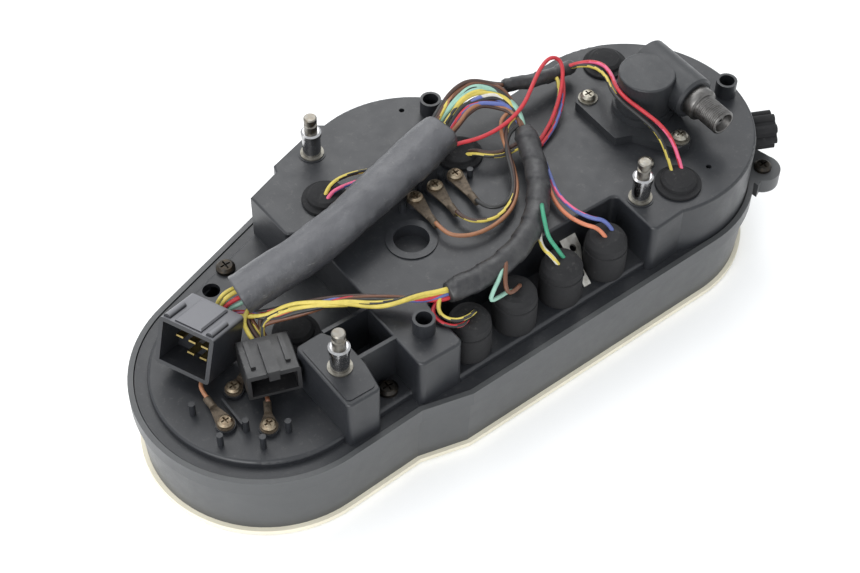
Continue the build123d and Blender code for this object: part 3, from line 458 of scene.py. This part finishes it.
# ---- finishes of the carried-over parts --------------------------------------------------------
def make_finishes():
    """The finishes of the CAD parts, in groups that share one."""
    case = plastic("case_plastic", (0.0125, 0.0137, 0.0165), rough=(0.34, 0.46), dust=0.16,
                   scuffs=0.25)
    cover = plastic("cover_plastic", (0.050, 0.052, 0.054), rough=(0.34, 0.46), dust=0.08,
                    scuffs=0.4)
    rubber = plastic("boot_rubber", (0.011, 0.011, 0.012), rough=(0.66, 0.85), grain=0.00005,
                     dust=0.16, scuffs=0.3, specular=0.3)
    chrome = metal("chrome", (0.46, 0.46, 0.47), rough=(0.12, 0.26), stain=(0.15, 0.12, 0.08),
                   stains=0.5)
    stud = metal("stud_steel", (0.22, 0.21, 0.19), rough=(0.25, 0.45), stain=(0.16, 0.12, 0.07),
                 stains=0.6)
    zinc = metal("zinc", (0.36, 0.34, 0.29), rough=(0.25, 0.45), stain=(0.10, 0.08, 0.05),
                 stains=0.8)
    washer = metal("washer_grey", (0.26, 0.25, 0.22), rough=(0.35, 0.6), stain=(0.12, 0.10, 0.07),
                   stains=0.7)
    casting = plastic("gearbox_paint", (0.016, 0.0175, 0.020), rough=(0.34, 0.5), grain=0.00006,
                      dust=0.14, scuffs=0.5)
    blackened = metal("black_screw", (0.040, 0.037, 0.034), rough=(0.35, 0.55),
                      stain=(0.10, 0.07, 0.04), stains=0.5)
    rusty = metal("terminal_screw", (0.30, 0.25, 0.18), rough=(0.35, 0.6),
                  stain=(0.09, 0.035, 0.012), stains=0.9)
    tin = metal("terminal_tin", (0.12, 0.095, 0.07), rough=(0.45, 0.7),
                stain=(0.035, 0.028, 0.022), stains=0.9, metallic=0.7)
    brass = metal("brass", (0.36, 0.28, 0.11), rough=(0.25, 0.45), stain=(0.12, 0.08, 0.03),
                  stains=0.5)
    pale = metal("bracket_zinc", (0.55, 0.54, 0.50), rough=(0.35, 0.55), stain=(0.22, 0.18, 0.12),
                 stains=0.5)
    steel = metal("steel", (0.30, 0.30, 0.30), rough=(0.25, 0.45))
    alloy = metal("aluminium", (0.60, 0.60, 0.61), rough=(0.3, 0.45), stains=0.15)
    seal = plastic("yellowed_rim", (0.66, 0.62, 0.50), rough=(0.45, 0.65), dust=0.1, scuffs=0.2)
    mask = plastic("dial_mask", (0.020, 0.020, 0.022), rough=(0.55, 0.75))
    face = plastic("dial_face", (0.016, 0.016, 0.019), rough=(0.6, 0.8))
    white = plastic("white_inner", (0.62, 0.62, 0.60), dust=0.05, scuffs=0.1)
    pointer = plastic("pointer", (0.75, 0.15, 0.03), rough=(0.3, 0.45))
    board = plastic("board", (0.26, 0.15, 0.06), scuffs=0.2)
    # the grey connector's top gets a painted highlight, lighter grey where it faces up
    grey_plug = plastic("grey_connector", (0.016, 0.017, 0.020), rough=(0.28, 0.42), dust=0.25,
                        scuffs=1.0, painted_highlight=0.7)
    black_plug = plastic("black_connector", (0.012, 0.012, 0.013), rough=(0.3, 0.5), dust=0.2,
                         scuffs=0.7)
    lamp = plastic("indicator", (0.30, 0.16, 0.04), rough=(0.2, 0.35))
    paint_nodes((
        ("rear_case", case), ("front_cover", cover),
        ("front_lens", clear("lens", (0.93, 0.94, 0.93))),
        ("lens_rim", seal), ("case_gasket flush_lamp_holders tall_lamp_boots", rubber),
        ("stud_sleeves", chrome), ("mounting_studs", stud),
        ("stud_washers gearbox_washers", washer),
        ("gearbox_screws", zinc), ("case_screws", blackened), ("gearbox_housing", casting),
        ("shaft_bush bulb_bases left_connector_blades terminal_studs", brass),
        ("driven_gear driven_shaft driver_gear cable_shaft magnet_rotor", steel),
        ("trip_shaft drum_axles tach_spindle temp_spindle tach_movement temp_movement", steel),
        ("speed_cup speedometer_frame", alloy), ("dial_mask", mask), ("indicator_lenses", lamp),
        ("gauge_carrier", white),
        ("speed_dial tach_dial temp_dial odometer_drums trip_drums", face),
        ("speed_needle tach_needle temp_needle", pointer), ("gauge_boards", board),
        ("lamp_bulbs", clear("bulb_glass", (0.95, 0.95, 0.92))), ("metal_bracket", pale),
        ("ring_terminals", tin), ("terminal_screws", rusty), ("trip_knob", rubber),
        ("left_connector", grey_plug), ("right_connector", black_plug),
    ))


make_finishes()


# ---- harness -----------------------------------------------------------------------------------
def make_tape():
    """Black binding tape, wrinkled and a little grey where it is rubbed."""
    s = Shade("binding_tape")
    rubbed = s.ramp(s.noise(150, 6, 0.7), 0.4, 0.72)
    color = s.mix(rubbed, (0.014, 0.014, 0.016), (0.040, 0.040, 0.040))
    roughness = s.ramp(s.noise(260, 5), 0.3, 0.7, 0.34, 0.56)
    s.bump((s.noise(1500, 4), 0.00008), (s.noise(330, 5, 0.7), 0.00018))
    return s.finish(color, roughness)


def make_vinyl():
    """Dark vinyl, creased, with pale scuffs and a painted highlight that makes the top lighter
    grey.
    """
    s = Shade("vinyl_sleeve")
    cloud = s.ramp(s.noise(70, 6, 0.65), 0.35, 0.7)
    color = s.mix(cloud, (0.030, 0.031, 0.035), (0.060, 0.061, 0.066))
    marks = s.ramp(s.noise(130, 8, 0.75, stretch=(2.0, 2.0, 5.0)), 0.60, 0.72)
    color = s.mix(s.multiply(marks, 0.6), color, (0.20, 0.195, 0.185))
    # painted highlight: the faces that point up are mixed a little towards grey
    color = s.mix(s.multiply(s.upward(), 0.35), color, (0.13, 0.13, 0.14))
    roughness = s.ramp(s.noise(160, 6, 0.7), 0.3, 0.7, 0.30, 0.48)
    s.bump((s.noise(1700, 3), 0.00005), (s.noise(210, 6, 0.65), 0.0005))
    return s.finish(color, roughness)


TAPE_SIDES, TAPE_STEP = 40, 0.0007
TAPE_PITCH = 0.0125
LAP_HEIGHT, LAP_SHARE = 0.00050, 0.7  # each turn's step, and the share of the pitch it fades over
CREASE_HEIGHT = 0.00022
UNDER_TAPE = 0.0003
END_SIZE, END_SHARE = 0.80, 0.035  # the bundle narrows to this size over this share of its length


def wrapped(name, route, r, seed, replaced=()):
    """A bundle wound with tape: each turn overlaps the last, and none lies quite flat."""
    path = evenly(smooth_route(route), TAPE_STEP)

    def radius(walked, angle, share):
        phase = (walked / TAPE_PITCH + angle / (2 * pi)) % 1.0
        lap = LAP_HEIGHT * max(0.0, 1.0 - phase / LAP_SHARE)
        spot = Vector((walked * 260, cos(angle) * 1.7 + seed, sin(angle) * 1.7))
        crease = noise.noise(spot) * CREASE_HEIGHT
        end = min(1.0, min(share, 1 - share) / END_SHARE)
        return r * MM * (END_SIZE + (1.0 - END_SIZE) * end) - UNDER_TAPE + lap + crease

    verts, faces = loose_tube(path, radius, TAPE_SIDES)
    return piece(name, verts, faces, TAPE, replaced=replaced)


TAPE = make_tape()
VINYL = make_vinyl()


SLEEVE_SIDES, SLEEVE_STEP = 56, 0.0011
FLATNESS = 0.10
SWELL, SWELL_WAVES = 0.035, 42
WRINKLE_HEIGHT, FOLD_HEIGHT = 0.00080, 0.00030
SEAM_ANGLE, SEAM_HALF, SEAM_DEPTH = 2.2, 0.14, 0.00055
LIPS = ((0, 0.93), (1, 0.89), (12, 0.86))  # stations from a mouth inward, and their share of r


def make_sleeve():
    """A loose vinyl sleeve, wrinkled outside, open at both ends, with a lip at each mouth."""
    route = smooth_route(SLEEVE)
    stations = frames_along(evenly(route, SLEEVE_STEP))
    total = stations[-1][3]
    verts = []

    def outside(walked, angle):
        wrinkle = noise.noise(Vector((walked * 55, cos(angle) * 1.2, sin(angle) * 1.2 + 4.0)))
        fold = noise.noise(Vector((walked * 230, cos(angle) * 2.2 + 9.0, sin(angle) * 2.2)))
        flat = 1.0 + FLATNESS * cos(2 * angle)
        swell = 1.0 - SWELL + SWELL * sin(walked * SWELL_WAVES + 0.6)
        seam = SEAM_DEPTH * max(0.0, 1.0 - abs(angle - SEAM_ANGLE) / SEAM_HALF)
        smooth = SLEEVE_R * MM * flat * swell
        return smooth + WRINKLE_HEIGHT * wrinkle + FOLD_HEIGHT * fold - seam

    order = [*reversed(LIPS), *((i, 1.0) for i in range(len(stations)))]
    order += [(len(stations) - 1 - i, share) for i, share in LIPS]
    for i, share in order:
        p, u, v, walked = stations[i]
        for k in range(SLEEVE_SIDES):
            angle = 2 * pi * k / SLEEVE_SIDES
            verts.append(p + (u * cos(angle) + v * sin(angle)) * outside(walked, angle) * share)
    faces = skin(len(order), SLEEVE_SIDES, closed_ends=False)
    sleeve = piece("sleeve", verts, faces, VINYL, replaced=("harness_sleeve",))
    return sleeve, route, total


END_SPREAD = 0.4


def between(routes, share, seed, spread):
    """A route part of the way through a family of routes with the same number of points.

    It strays at random by up to spread, and by less at its ends.
    """
    place = share * (len(routes) - 1)
    i = min(int(place), len(routes) - 2)
    rng = Random(seed)
    out = []
    for n, (a, b) in enumerate(zip(routes[i], routes[i + 1])):
        loose = spread * (END_SPREAD if n in (0, len(routes[i]) - 1) else 1.0)
        p = Vector(a).lerp(Vector(b), place - i)
        out.append(tuple(p + Vector([rng.uniform(-loose, loose) for _ in range(3)])))
    return out


ARCH_COLORS = (
    ("dark",), ("brown",), ("dark", "tan"), ("black", "yellow"), ("mint",), ("mint",), ("yellow",),
    ("yellow", "black"), ("white", "black"), ("blue",), ("black",), ("brown", "yellow"),
    ("blue", "red"), ("tan",), ("dark",),
)
ARCH_ROUTES = (
    ((4.0, 24.6, 81.0), (13.2, 27.6, 81.2), (22.6, 33.0, 84.2), (31.6, 35.4, 88.2),
     (39.8, 34.8, 90.6), (46.4, 30.8, 90.2), (50.4, 24.4, 87.6), (51.4, 16.2, 84.0),
     (49.6, 8.0, 80.4), (46.0, -1.0, 77.0)),
    ((4.0, 19.0, 82.0), (13.8, 22.2, 82.2), (23.0, 25.8, 84.6), (31.6, 27.8, 87.4),
     (39.4, 27.4, 88.6), (45.4, 23.8, 87.8), (49.4, 18.4, 85.6), (50.6, 11.6, 82.4),
     (49.0, 5.4, 79.6), (45.6, -1.8, 76.6)),
    ((5.0, 15.4, 79.0), (14.8, 18.4, 79.4), (24.0, 21.6, 82.0), (31.4, 23.4, 84.2),
     (38.4, 22.6, 85.4), (43.6, 19.4, 84.8), (47.4, 14.2, 83.2), (48.4, 8.6, 80.8),
     (47.0, 3.6, 78.6), (44.2, -2.4, 76.0)),
)
RETURN_COLORS = (
    ("yellow",), ("yellow", "black"), ("yellow", "black"), ("black",), ("brown",), ("red",),
    ("blue", "pink"), ("dark",), ("red", "black"),
)
RETURN_ROUTES = (
    ((-27.0, -50.4, 76.2), (-36.0, -49.6, 76.4), (-45.0, -44.6, 76.4), (-55.0, -42.4, 75.6),
     (-64.0, -38.0, 74.6), (-72.6, -28.6, 73.4), (-82.0, -19.6, 71.6), (-91.0, -12.0, 68.6),
     (-99.0, -8.6, 64.6)),
    ((-27.0, -50.6, 74.4), (-36.0, -50.0, 74.6), (-45.4, -46.6, 74.6), (-54.0, -39.6, 74.2),
     (-62.6, -31.6, 73.6), (-71.0, -25.6, 72.6), (-81.0, -22.0, 71.0), (-90.6, -17.6, 68.0),
     (-98.0, -12.0, 63.6)),
    ((-27.0, -51.0, 73.0), (-36.0, -51.4, 73.0), (-44.6, -46.2, 73.2), (-53.0, -38.6, 73.0),
     (-61.6, -30.4, 72.4), (-72.0, -22.8, 71.6), (-82.6, -15.4, 70.0), (-91.6, -9.0, 67.0),
     (-98.6, -4.6, 63.0)),
)

BRANCH_START = (  # x, y, z, and the share of a wire's offset in y that is left there
    (6.0, 22.0, 82.0, 1.0), (16.0, 28.0, 84.0, 1.0), (27.0, 34.0, 86.4, 0.6),
    (38.0, 36.6, 87.6, 0.5), (48.6, 35.0, 84.6, 0.4), (55.0, 32.4, 81.2, 0.3),
    (61.0, 30.0, 80.0, 0.2),
)


def make_arch():
    """The wires that leave the sleeve's upper mouth and turn down into the taped trunk."""
    for i, colors in enumerate(ARCH_COLORS):
        route = between(ARCH_ROUTES, i / (len(ARCH_COLORS) - 1), 20 + i, 1.0)
        wire(f"arch_wire_{i + 1}", route, WIRE_R, colors,
             replaced=("wire_arch",) if not i else ())


def make_branch_wires():
    """The dark wires that leave the sleeve's mouth for the taped branch."""
    rows = ((("dark",), 0.0), (("black",), 1.6), (("brown", "yellow"), -1.4))
    for i, (colors, rise) in enumerate(rows):
        route = [(x, y + rise * share, z) for x, y, z, share in BRANCH_START]
        wire(f"branch_wire_{i + 1}", route, WIRE_R, colors)


def make_return():
    """The wires between the trunk's lower end and the connectors: some end in each of the two."""
    for i, colors in enumerate(RETURN_COLORS):
        route = between(RETURN_ROUTES, i / (len(RETURN_COLORS) - 1), 50 + i, 0.9)
        if i % 3 == 1:
            route += [(-103.6, -10.6 + i * 0.4, 61.0), (-106.4 + i * 0.5, -17.0, 57.0)]
        else:
            route += [(-103.6, -3.0 + i * 0.3, 62.4), (-108.6, 1.6 + i * 0.5, 60.6),
                      (-113.0, 2.2 + i * 0.6, 58.0), (-117.0, 1.6 + i * 0.6, 56.0 + (i % 2) * 2.0)]
        wire(f"return_wire_{i + 1}", route, WIRE_R, colors,
             replaced=("wire_return",) if not i else ())


CONNECTOR_WIRES = (
    (("yellow",),
     ((-94.0, 8.6, 68.0), (-103.0, 10.2, 68.0), (-109.0, 11.0, 66.4), (-113.6, 9.4, 61.8),
      (-115.4, 6.6, 57.4))),
    (("yellow", "black"),
     ((-94.0, 6.6, 69.0), (-103.6, 7.6, 68.8), (-110.0, 8.2, 66.6), (-114.4, 6.4, 62.0),
      (-115.6, 3.6, 57.6))),
    (("red",),
     ((-94.0, 4.4, 68.4), (-103.0, 4.8, 67.4), (-109.6, 6.4, 65.0), (-114.2, 6.0, 61.0),
      (-116.0, 1.6, 57.4))),
    (("mint",),
     ((-94.0, 3.6, 66.8), (-103.0, 3.0, 65.4), (-109.0, 5.0, 63.4), (-113.4, 6.6, 59.8),
      (-114.6, 3.2, 54.6))),
    (("green",),
     ((-94.0, 6.0, 65.8), (-102.6, 6.6, 64.4), (-108.4, 9.2, 62.4), (-112.6, 9.4, 58.6),
      (-114.6, 7.4, 53.6))),
    (("yellow",),
     ((-95.0, 1.6, 66.0), (-102.6, 0.0, 64.0), (-107.8, -3.4, 62.2), (-108.8, -9.6, 60.0),
      (-108.6, -16.6, 57.4))),
    (("dark",),
     ((-95.0, 2.4, 65.0), (-102.0, 2.2, 62.6), (-105.4, -2.6, 61.0), (-106.2, -9.4, 59.0),
      (-105.8, -16.8, 56.8))),
    (("brown", "yellow"),
     ((-94.4, 3.6, 64.4), (-101.0, 3.0, 61.8), (-103.4, -2.6, 60.2), (-103.8, -9.4, 58.6),
      (-103.2, -17.4, 56.4))),
)


def make_harness():
    wrapped("trunk", LOOM, LOOM_R, 1.0, replaced=("harness_loom",))
    wrapped("branch", BRANCH, BRANCH_R, 5.0)
    make_arch()
    make_branch_wires()
    make_return()
    sleeve, route, total = make_sleeve()
    wires = [wire(f"connector_wire_{i + 1}", points, WIRE_R, colors,
                  replaced=("connector_leads",) if not i else ())
             for i, (colors, points) in enumerate(CONNECTOR_WIRES)]


LEAD_WIRES = (  # the CAD node each group replaces, its slot, and its wires
    ("flush_lamp_leads", "wire_lamp", (
        (("red", "pink"),
         ((92.0, 26.6, 77.0), (98.6, 22.6, 80.0), (102.6, 14.4, 82.6), (99.6, 4.6, 85.2),
          (94.0, -5.0, 87.4), (92.2, -14.0, 88.0), (94.0, -23.6, 87.0), (97.4, -33.6, 83.6),
          (97.6, -43.4, 79.2), (94.6, -52.8, 71.0))),
        (("black", "yellow"),
         ((92.0, 27.0, 76.0), (97.6, 21.4, 79.4), (99.6, 13.4, 81.8), (96.8, 4.0, 84.4),
          (91.6, -5.2, 86.0), (90.4, -14.0, 86.2), (92.2, -23.6, 84.8), (94.8, -33.0, 81.4),
          (93.2, -42.6, 77.4), (90.0, -51.6, 71.0))),
        (("yellow", "black"),
         ((-44.6, 28.0, 71.0), (-42.0, 29.4, 74.4), (-36.4, 30.6, 75.8), (-29.4, 30.0, 75.8),
          (-22.0, 28.4, 74.8), (-14.0, 25.6, 73.2), (-8.0, 23.0, 72.0))),
        (("pink", "blue"),
         ((-45.4, 25.6, 71.0), (-42.4, 26.6, 74.0), (-36.8, 26.4, 75.0), (-30.0, 25.4, 74.8),
          (-22.8, 24.6, 74.0), (-14.6, 22.4, 72.8), (-8.6, 20.2, 71.8))),
        (("dark",),
         ((23.4, 14.4, 71.0), (25.4, 10.6, 74.6), (28.0, 5.6, 75.2), (33.0, 2.4, 74.8),
          (40.0, 1.4, 75.6), (47.4, 0.6, 77.4))),
        (("yellow", "black"),
         ((21.4, 13.6, 71.0), (23.8, 9.2, 74.2), (27.6, 3.8, 74.8), (33.0, 0.6, 74.2),
          (40.0, -0.8, 75.0), (46.8, -1.6, 76.8))),
    )),
    ("loop_lead", "wire_red", (
        (("red",),
         ((8.0, 16.4, 78.6), (17.0, 15.0, 79.4), (28.6, 10.6, 79.8), (41.0, 8.6, 82.6),
          (54.0, 11.8, 84.6), (64.6, 18.6, 87.0), (73.6, 24.2, 88.6), (81.4, 27.0, 88.6),
          (86.0, 25.4, 86.0), (84.6, 20.8, 82.8), (79.0, 14.8, 78.4), (71.0, 8.8, 74.4),
          (62.4, 3.8, 71.6), (54.6, 0.4, 70.4))),
        (("yellow", "black"),
         ((84.4, 27.0, 76.4), (83.2, 22.4, 77.6), (77.6, 14.4, 76.0), (69.4, 7.8, 73.0),
          (61.0, 3.0, 70.6), (54.0, 0.8, 70.0))),
        (("red", "blue"),
         ((88.0, 27.0, 75.8), (85.6, 21.6, 77.2), (79.4, 13.2, 75.4), (71.0, 6.4, 72.2),
          (62.4, 1.6, 70.2), (54.6, -1.2, 69.8))),
    )),
    ("tall_lamp_leads", "wire_lamp", (
        (("blue", "pink"),
         ((46.4, -14.0, 74.6), (43.2, -21.8, 74.2), (39.4, -31.4, 73.4), (39.6, -41.4, 72.2),
          (43.4, -50.2, 71.2), (49.0, -54.4, 70.2), (50.4, -57.8, 65.0))),
        (("orange",),
         ((44.6, -15.0, 73.4), (40.8, -23.0, 73.0), (36.6, -32.6, 72.0), (36.2, -42.4, 70.8),
          (39.6, -51.0, 70.0), (44.0, -55.6, 69.4), (45.4, -59.2, 65.0))),
        (("green",),
         ((26.0, -37.0, 79.4), (23.0, -40.8, 81.8), (20.6, -46.0, 78.8), (19.4, -50.0, 74.6),
          (20.6, -54.0, 71.0), (23.0, -57.6, 65.0))),
        (("white", "yellow"),
         ((27.4, -37.4, 74.0), (22.6, -41.4, 73.6), (18.0, -45.8, 72.0), (15.8, -51.2, 70.6),
          (17.2, -56.2, 69.0), (18.6, -59.4, 65.0))),
        (("brown",),
         ((-4.0, -50.0, 79.0), (-7.4, -54.6, 78.4), (-11.8, -59.6, 75.6), (-13.0, -63.4, 72.2),
          (-8.6, -62.6, 70.2), (-3.8, -60.6, 69.0), (-2.2, -58.4, 65.0))),
        (("mint",),
         ((-6.0, -51.6, 78.0), (-10.8, -56.2, 76.8), (-18.0, -59.4, 72.8), (-20.4, -60.8, 69.6),
          (-15.0, -60.6, 68.8), (-9.4, -60.0, 68.4), (-6.4, -59.0, 65.0))),
        (("yellow", "black"),
         ((-36.0, -48.0, 74.0), (-41.4, -51.4, 73.2), (-43.0, -56.8, 71.8), (-39.0, -61.6, 70.8),
          (-32.4, -62.4, 70.0), (-27.6, -60.4, 68.6), (-26.6, -58.6, 65.0))),
        (("red", "black"),
         ((-37.0, -49.0, 72.6), (-43.4, -50.2, 71.6), (-45.0, -55.4, 69.8), (-41.6, -61.4, 68.8),
          (-36.4, -63.4, 68.2), (-32.2, -61.4, 67.6), (-31.4, -59.4, 64.0))),
    )),
    ("terminal_leads", "wire_brown", (
        (("tan",),
         ((-13.8, -13.0, 72.4), (-13.8, -17.4, 72.2), (-12.6, -23.0, 72.2), (-6.8, -27.6, 72.2),
          (1.4, -29.6, 72.2), (11.0, -28.8, 72.2), (19.8, -25.4, 72.2), (27.6, -18.6, 72.8),
          (33.0, -9.0, 74.0), (36.4, 1.0, 76.0), (39.4, 10.0, 79.4), (44.0, 14.6, 82.0),
          (50.0, 14.0, 83.4))),
        (("dark", "yellow"),
         ((-2.6, -13.0, 72.4), (-2.2, -18.4, 72.2), (1.6, -23.6, 72.4), (8.6, -26.6, 72.6),
          (16.6, -25.2, 72.8), (24.2, -20.4, 73.2), (31.0, -11.6, 74.2), (35.8, -1.0, 76.2),
          (39.8, 6.8, 79.0), (45.0, 10.8, 81.4), (50.0, 10.4, 82.4))),
        (("black",),
         ((8.7, -12.6, 72.4), (9.0, -16.8, 72.4), (12.0, -21.6, 72.6), (18.0, -22.8, 73.0),
          (25.0, -18.8, 73.4), (30.6, -10.4, 74.4), (34.6, -1.0, 76.2), (39.0, 4.4, 78.0),
          (44.0, 7.0, 79.8), (49.0, 6.4, 80.4))),
        (("tan",),
         ((-136.7, -19.0, 48.6), (-136.6, -14.6, 48.6), (-134.4, -10.4, 48.4),
          (-130.0, -8.2, 48.0), (-126.4, -8.0, 46.4))),
        (("brown", "yellow"),
         ((-117.2, -36.0, 48.6), (-115.2, -31.4, 48.6), (-113.6, -25.6, 48.4),
          (-114.2, -20.0, 47.8), (-114.6, -17.0, 46.4))),
        (("brown",),
         ((-115.6, -16.4, 48.6), (-111.4, -14.4, 48.6), (-107.4, -11.4, 48.2),
          (-104.8, -6.6, 47.6), (-104.2, -3.4, 46.2))),
    )),
)


def make_leads():
    for node, slot, wires in LEAD_WIRES:
        for i, (colors, points) in enumerate(wires):
            wire(f"{node}_{i + 1}", points, LEAD_R, colors,
                 replaced=(node,) if not i else ())


# ---- threaded union ----------------------------------------------------------------------------
UNION_PLACE, UNION_HEADING = (120.5, -30.0, 84.0), (0, -1, 0)
THREAD_START, THREAD_END = 5.5, 19.2
THREAD_PITCH, THREAD_DEPTH = 1.0, 0.62
THREAD_R, COLLAR_R, SHAFT_BORE, CABLE_BORE = 6.0, 7.8, 3.05, 4.6
THREAD_STEP = 0.125
UNION_SIDES = 72


def make_union():
    """The cable union with its M12 x 1 thread."""
    start, end = THREAD_START, THREAD_END

    def ripple(along, angle):
        if not start + 0.8 < along < end - 0.8:
            return 0.0
        phase = (along / THREAD_PITCH + angle / (2 * pi)) % 1.0
        return -THREAD_DEPTH * abs(phase * 2 - 1) ** 1.4

    profile = [(SHAFT_BORE, 1.2), (SHAFT_BORE, 0.0), (7.6, 0.0), (COLLAR_R, 0.2), (COLLAR_R, 5.0),
               (7.4, start), (THREAD_R, start + 0.02)]
    steps = int((end - start) / THREAD_STEP)
    profile += [(THREAD_R, start + 0.1 + i * THREAD_STEP) for i in range(steps - 4)]
    profile += [(5.6, end - 0.1), (5.2, end), (4.7, end), (CABLE_BORE, end - 0.2),
                (CABLE_BORE, start + 0.4), (SHAFT_BORE, start + 0.4), (SHAFT_BORE, 1.2)]
    verts, faces = lathe(profile, UNION_PLACE, UNION_HEADING, UNION_SIDES, ripple)
    finish = metal("union_metal", (0.17, 0.165, 0.16), rough=(0.28, 0.5),
                   stain=(0.05, 0.045, 0.04), stains=0.7)
    end_caps = 2  # left out: the profile closes on itself
    piece("threaded_union", verts, faces[:-end_caps], finish,
          replaced=("cable_union",))


# ---- dials: centres and sizes in millimetres, angles in degrees --------------------------------
SPEED, TACH, TEMP = (107.0, -11.0), (-4.0, 17.8), (-105.5, -16.0)
PRINT_Z = 14.34
TACH_RED = (149.6, 185.0)
TEMP_SCALE = (40.0, 95.0, 8)  # start, sweep, steps
TEMP_RED = 123.0
DRUM_OFFSET, DRUM_Z, DRUM_PITCH = 21.0, 24.0, 5.2
DIGIT_SIZE, DIGIT_R = 5.0, 7.54


def glyph(text, size):
    """The outline of some text as a flat mesh, centred on the origin, in millimetres."""
    curve = bpy.data.curves.new("glyph", "FONT")
    curve.body = text
    curve.size = size
    curve.align_x = "CENTER"
    curve.align_y = "CENTER"
    curve.resolution_u = 3
    return curve_mesh(curve)


def beside(centre, angle, reach):
    """A place on a dial, at an angle and a distance from its centre."""
    a = radians(angle)
    return Vector((*centre, PRINT_Z)) + Vector((cos(a), sin(a), 0)) * reach


class Marks:
    """Flat markings gathered into one piece, in millimetres and degrees."""

    def __init__(self):
        self.verts, self.faces = [], []

    def add(self, verts, faces):
        first = len(self.verts)
        self.verts += [Vector(v) * MM for v in verts]
        self.faces += [tuple(first + i for i in face) for face in faces]

    def tick(self, centre, angle, r0, r1, width):
        ray = Vector((cos(radians(angle)), sin(radians(angle)), 0))
        side = Vector((-ray.y, ray.x, 0)) * (width / 2)
        middle = Vector((*centre, PRINT_Z))
        near, far = middle + ray * r0, middle + ray * r1
        self.add([near - side, near + side, far + side, far - side], [(0, 1, 2, 3)])

    def band(self, centre, a0, a1, r0, r1):
        count = max(2, int((a1 - a0) / 3))
        verts = []
        for i in range(count + 1):
            a = radians(a0 + (a1 - a0) * i / count)
            for r in (r0, r1):
                verts.append((centre[0] + r * cos(a), centre[1] + r * sin(a), PRINT_Z))
        self.add(verts, [(2 * i, 2 * i + 2, 2 * i + 3, 2 * i + 1) for i in range(count)])

    def write(self, text, place, size):
        """Text that reads from the lens side."""
        verts, faces = glyph(text, size)
        self.add([(place[0] - v.x, place[1] + v.y, place[2]) for v in verts], faces)


def print_scale(white, warn, centre, r, zero, sweep, steps, minor, unit, red_from, number):
    """Ticks and numbers in steps of unit, red from one step on, and the arc outside them."""
    inset, size = number
    for i in range(steps * minor + 1):
        angle = zero + sweep * i / (steps * minor)
        long = i % minor == 0
        target = warn if i >= red_from * minor else white
        target.tick(centre, angle, r - (9.5 if long else 7.2), r - 4.2, 1.1 if long else 0.5)
        if long:
            white.write(str(i // minor * unit), beside(centre, angle, r - inset), size)
    white.band(centre, zero, zero + sweep, r - 4.2, r - 3.8)


def print_temperature(white, warn):
    start, sweep, steps = TEMP_SCALE
    for i in range(steps + 1):
        angle = start + sweep * i / steps
        long = i % (steps // 2) == 0
        target = warn if i > 6 else white
        target.tick(TEMP, angle, 28.0 if long else 30.0, 34.0, 1.4 if long else 0.8)
    warn.band(TEMP, TEMP_RED, start + sweep, 34.4, 36.2)
    white.band(TEMP, start, TEMP_RED, 34.4, 35.0)
    for text, angle in (("C", start), ("H", start + sweep)):
        white.write(text, beside(TEMP, angle, 22.5), 6.5)


def make_drum_digits(ink):
    """The digits on both rows of drums, each drum turned on by three from its neighbour."""
    digits = [glyph(str(i), DIGIT_SIZE) for i in range(10)]
    for body, side, count in (("odometer", 1, 6), ("trip_counter", -1, 4)):
        ring = Marks()
        axis = Vector((SPEED[0], SPEED[1] + side * DRUM_OFFSET, DRUM_Z))
        for drum in range(count):
            place = axis + Vector(((drum - (count - 1) / 2) * DRUM_PITCH, 0, 0))
            for i, (verts, faces) in enumerate(digits):
                turn = Matrix.Rotation(radians(36 * (i - (drum * 3) % 10)), 3, "X")
                ring.add([turn @ Vector((-v.x, v.y, -DIGIT_R)) + place for v in verts], faces)
        piece(f"{body}_digits", ring.verts, ring.faces, ink, smooth=False,
              body=body)


def make_dials():
    pale = plastic("dial_print", (0.72, 0.72, 0.68), rough=(0.5, 0.6))
    red = plastic("dial_red", (0.60, 0.03, 0.02), rough=(0.5, 0.6))
    white, warn = Marks(), Marks()
    print_scale(white, warn, SPEED, 41.0, -45.0, 240.0, 12, 5, unit=20, red_from=99,
                number=(11.4, 3.4))
    print_scale(white, warn, TACH, 46.0, -45.0, 230.0, 13, 4, unit=1, red_from=11,
                number=(14.5, 5.6))
    warn.band(TACH, *TACH_RED, 43.0, 45.0)
    print_temperature(white, warn)
    piece("dial_print", white.verts, white.faces, pale, smooth=False)
    piece("dial_warning_print", warn.verts, warn.faces, red, smooth=False)
    make_drum_digits(pale)


make_harness()
make_leads()
make_union()
make_dials()
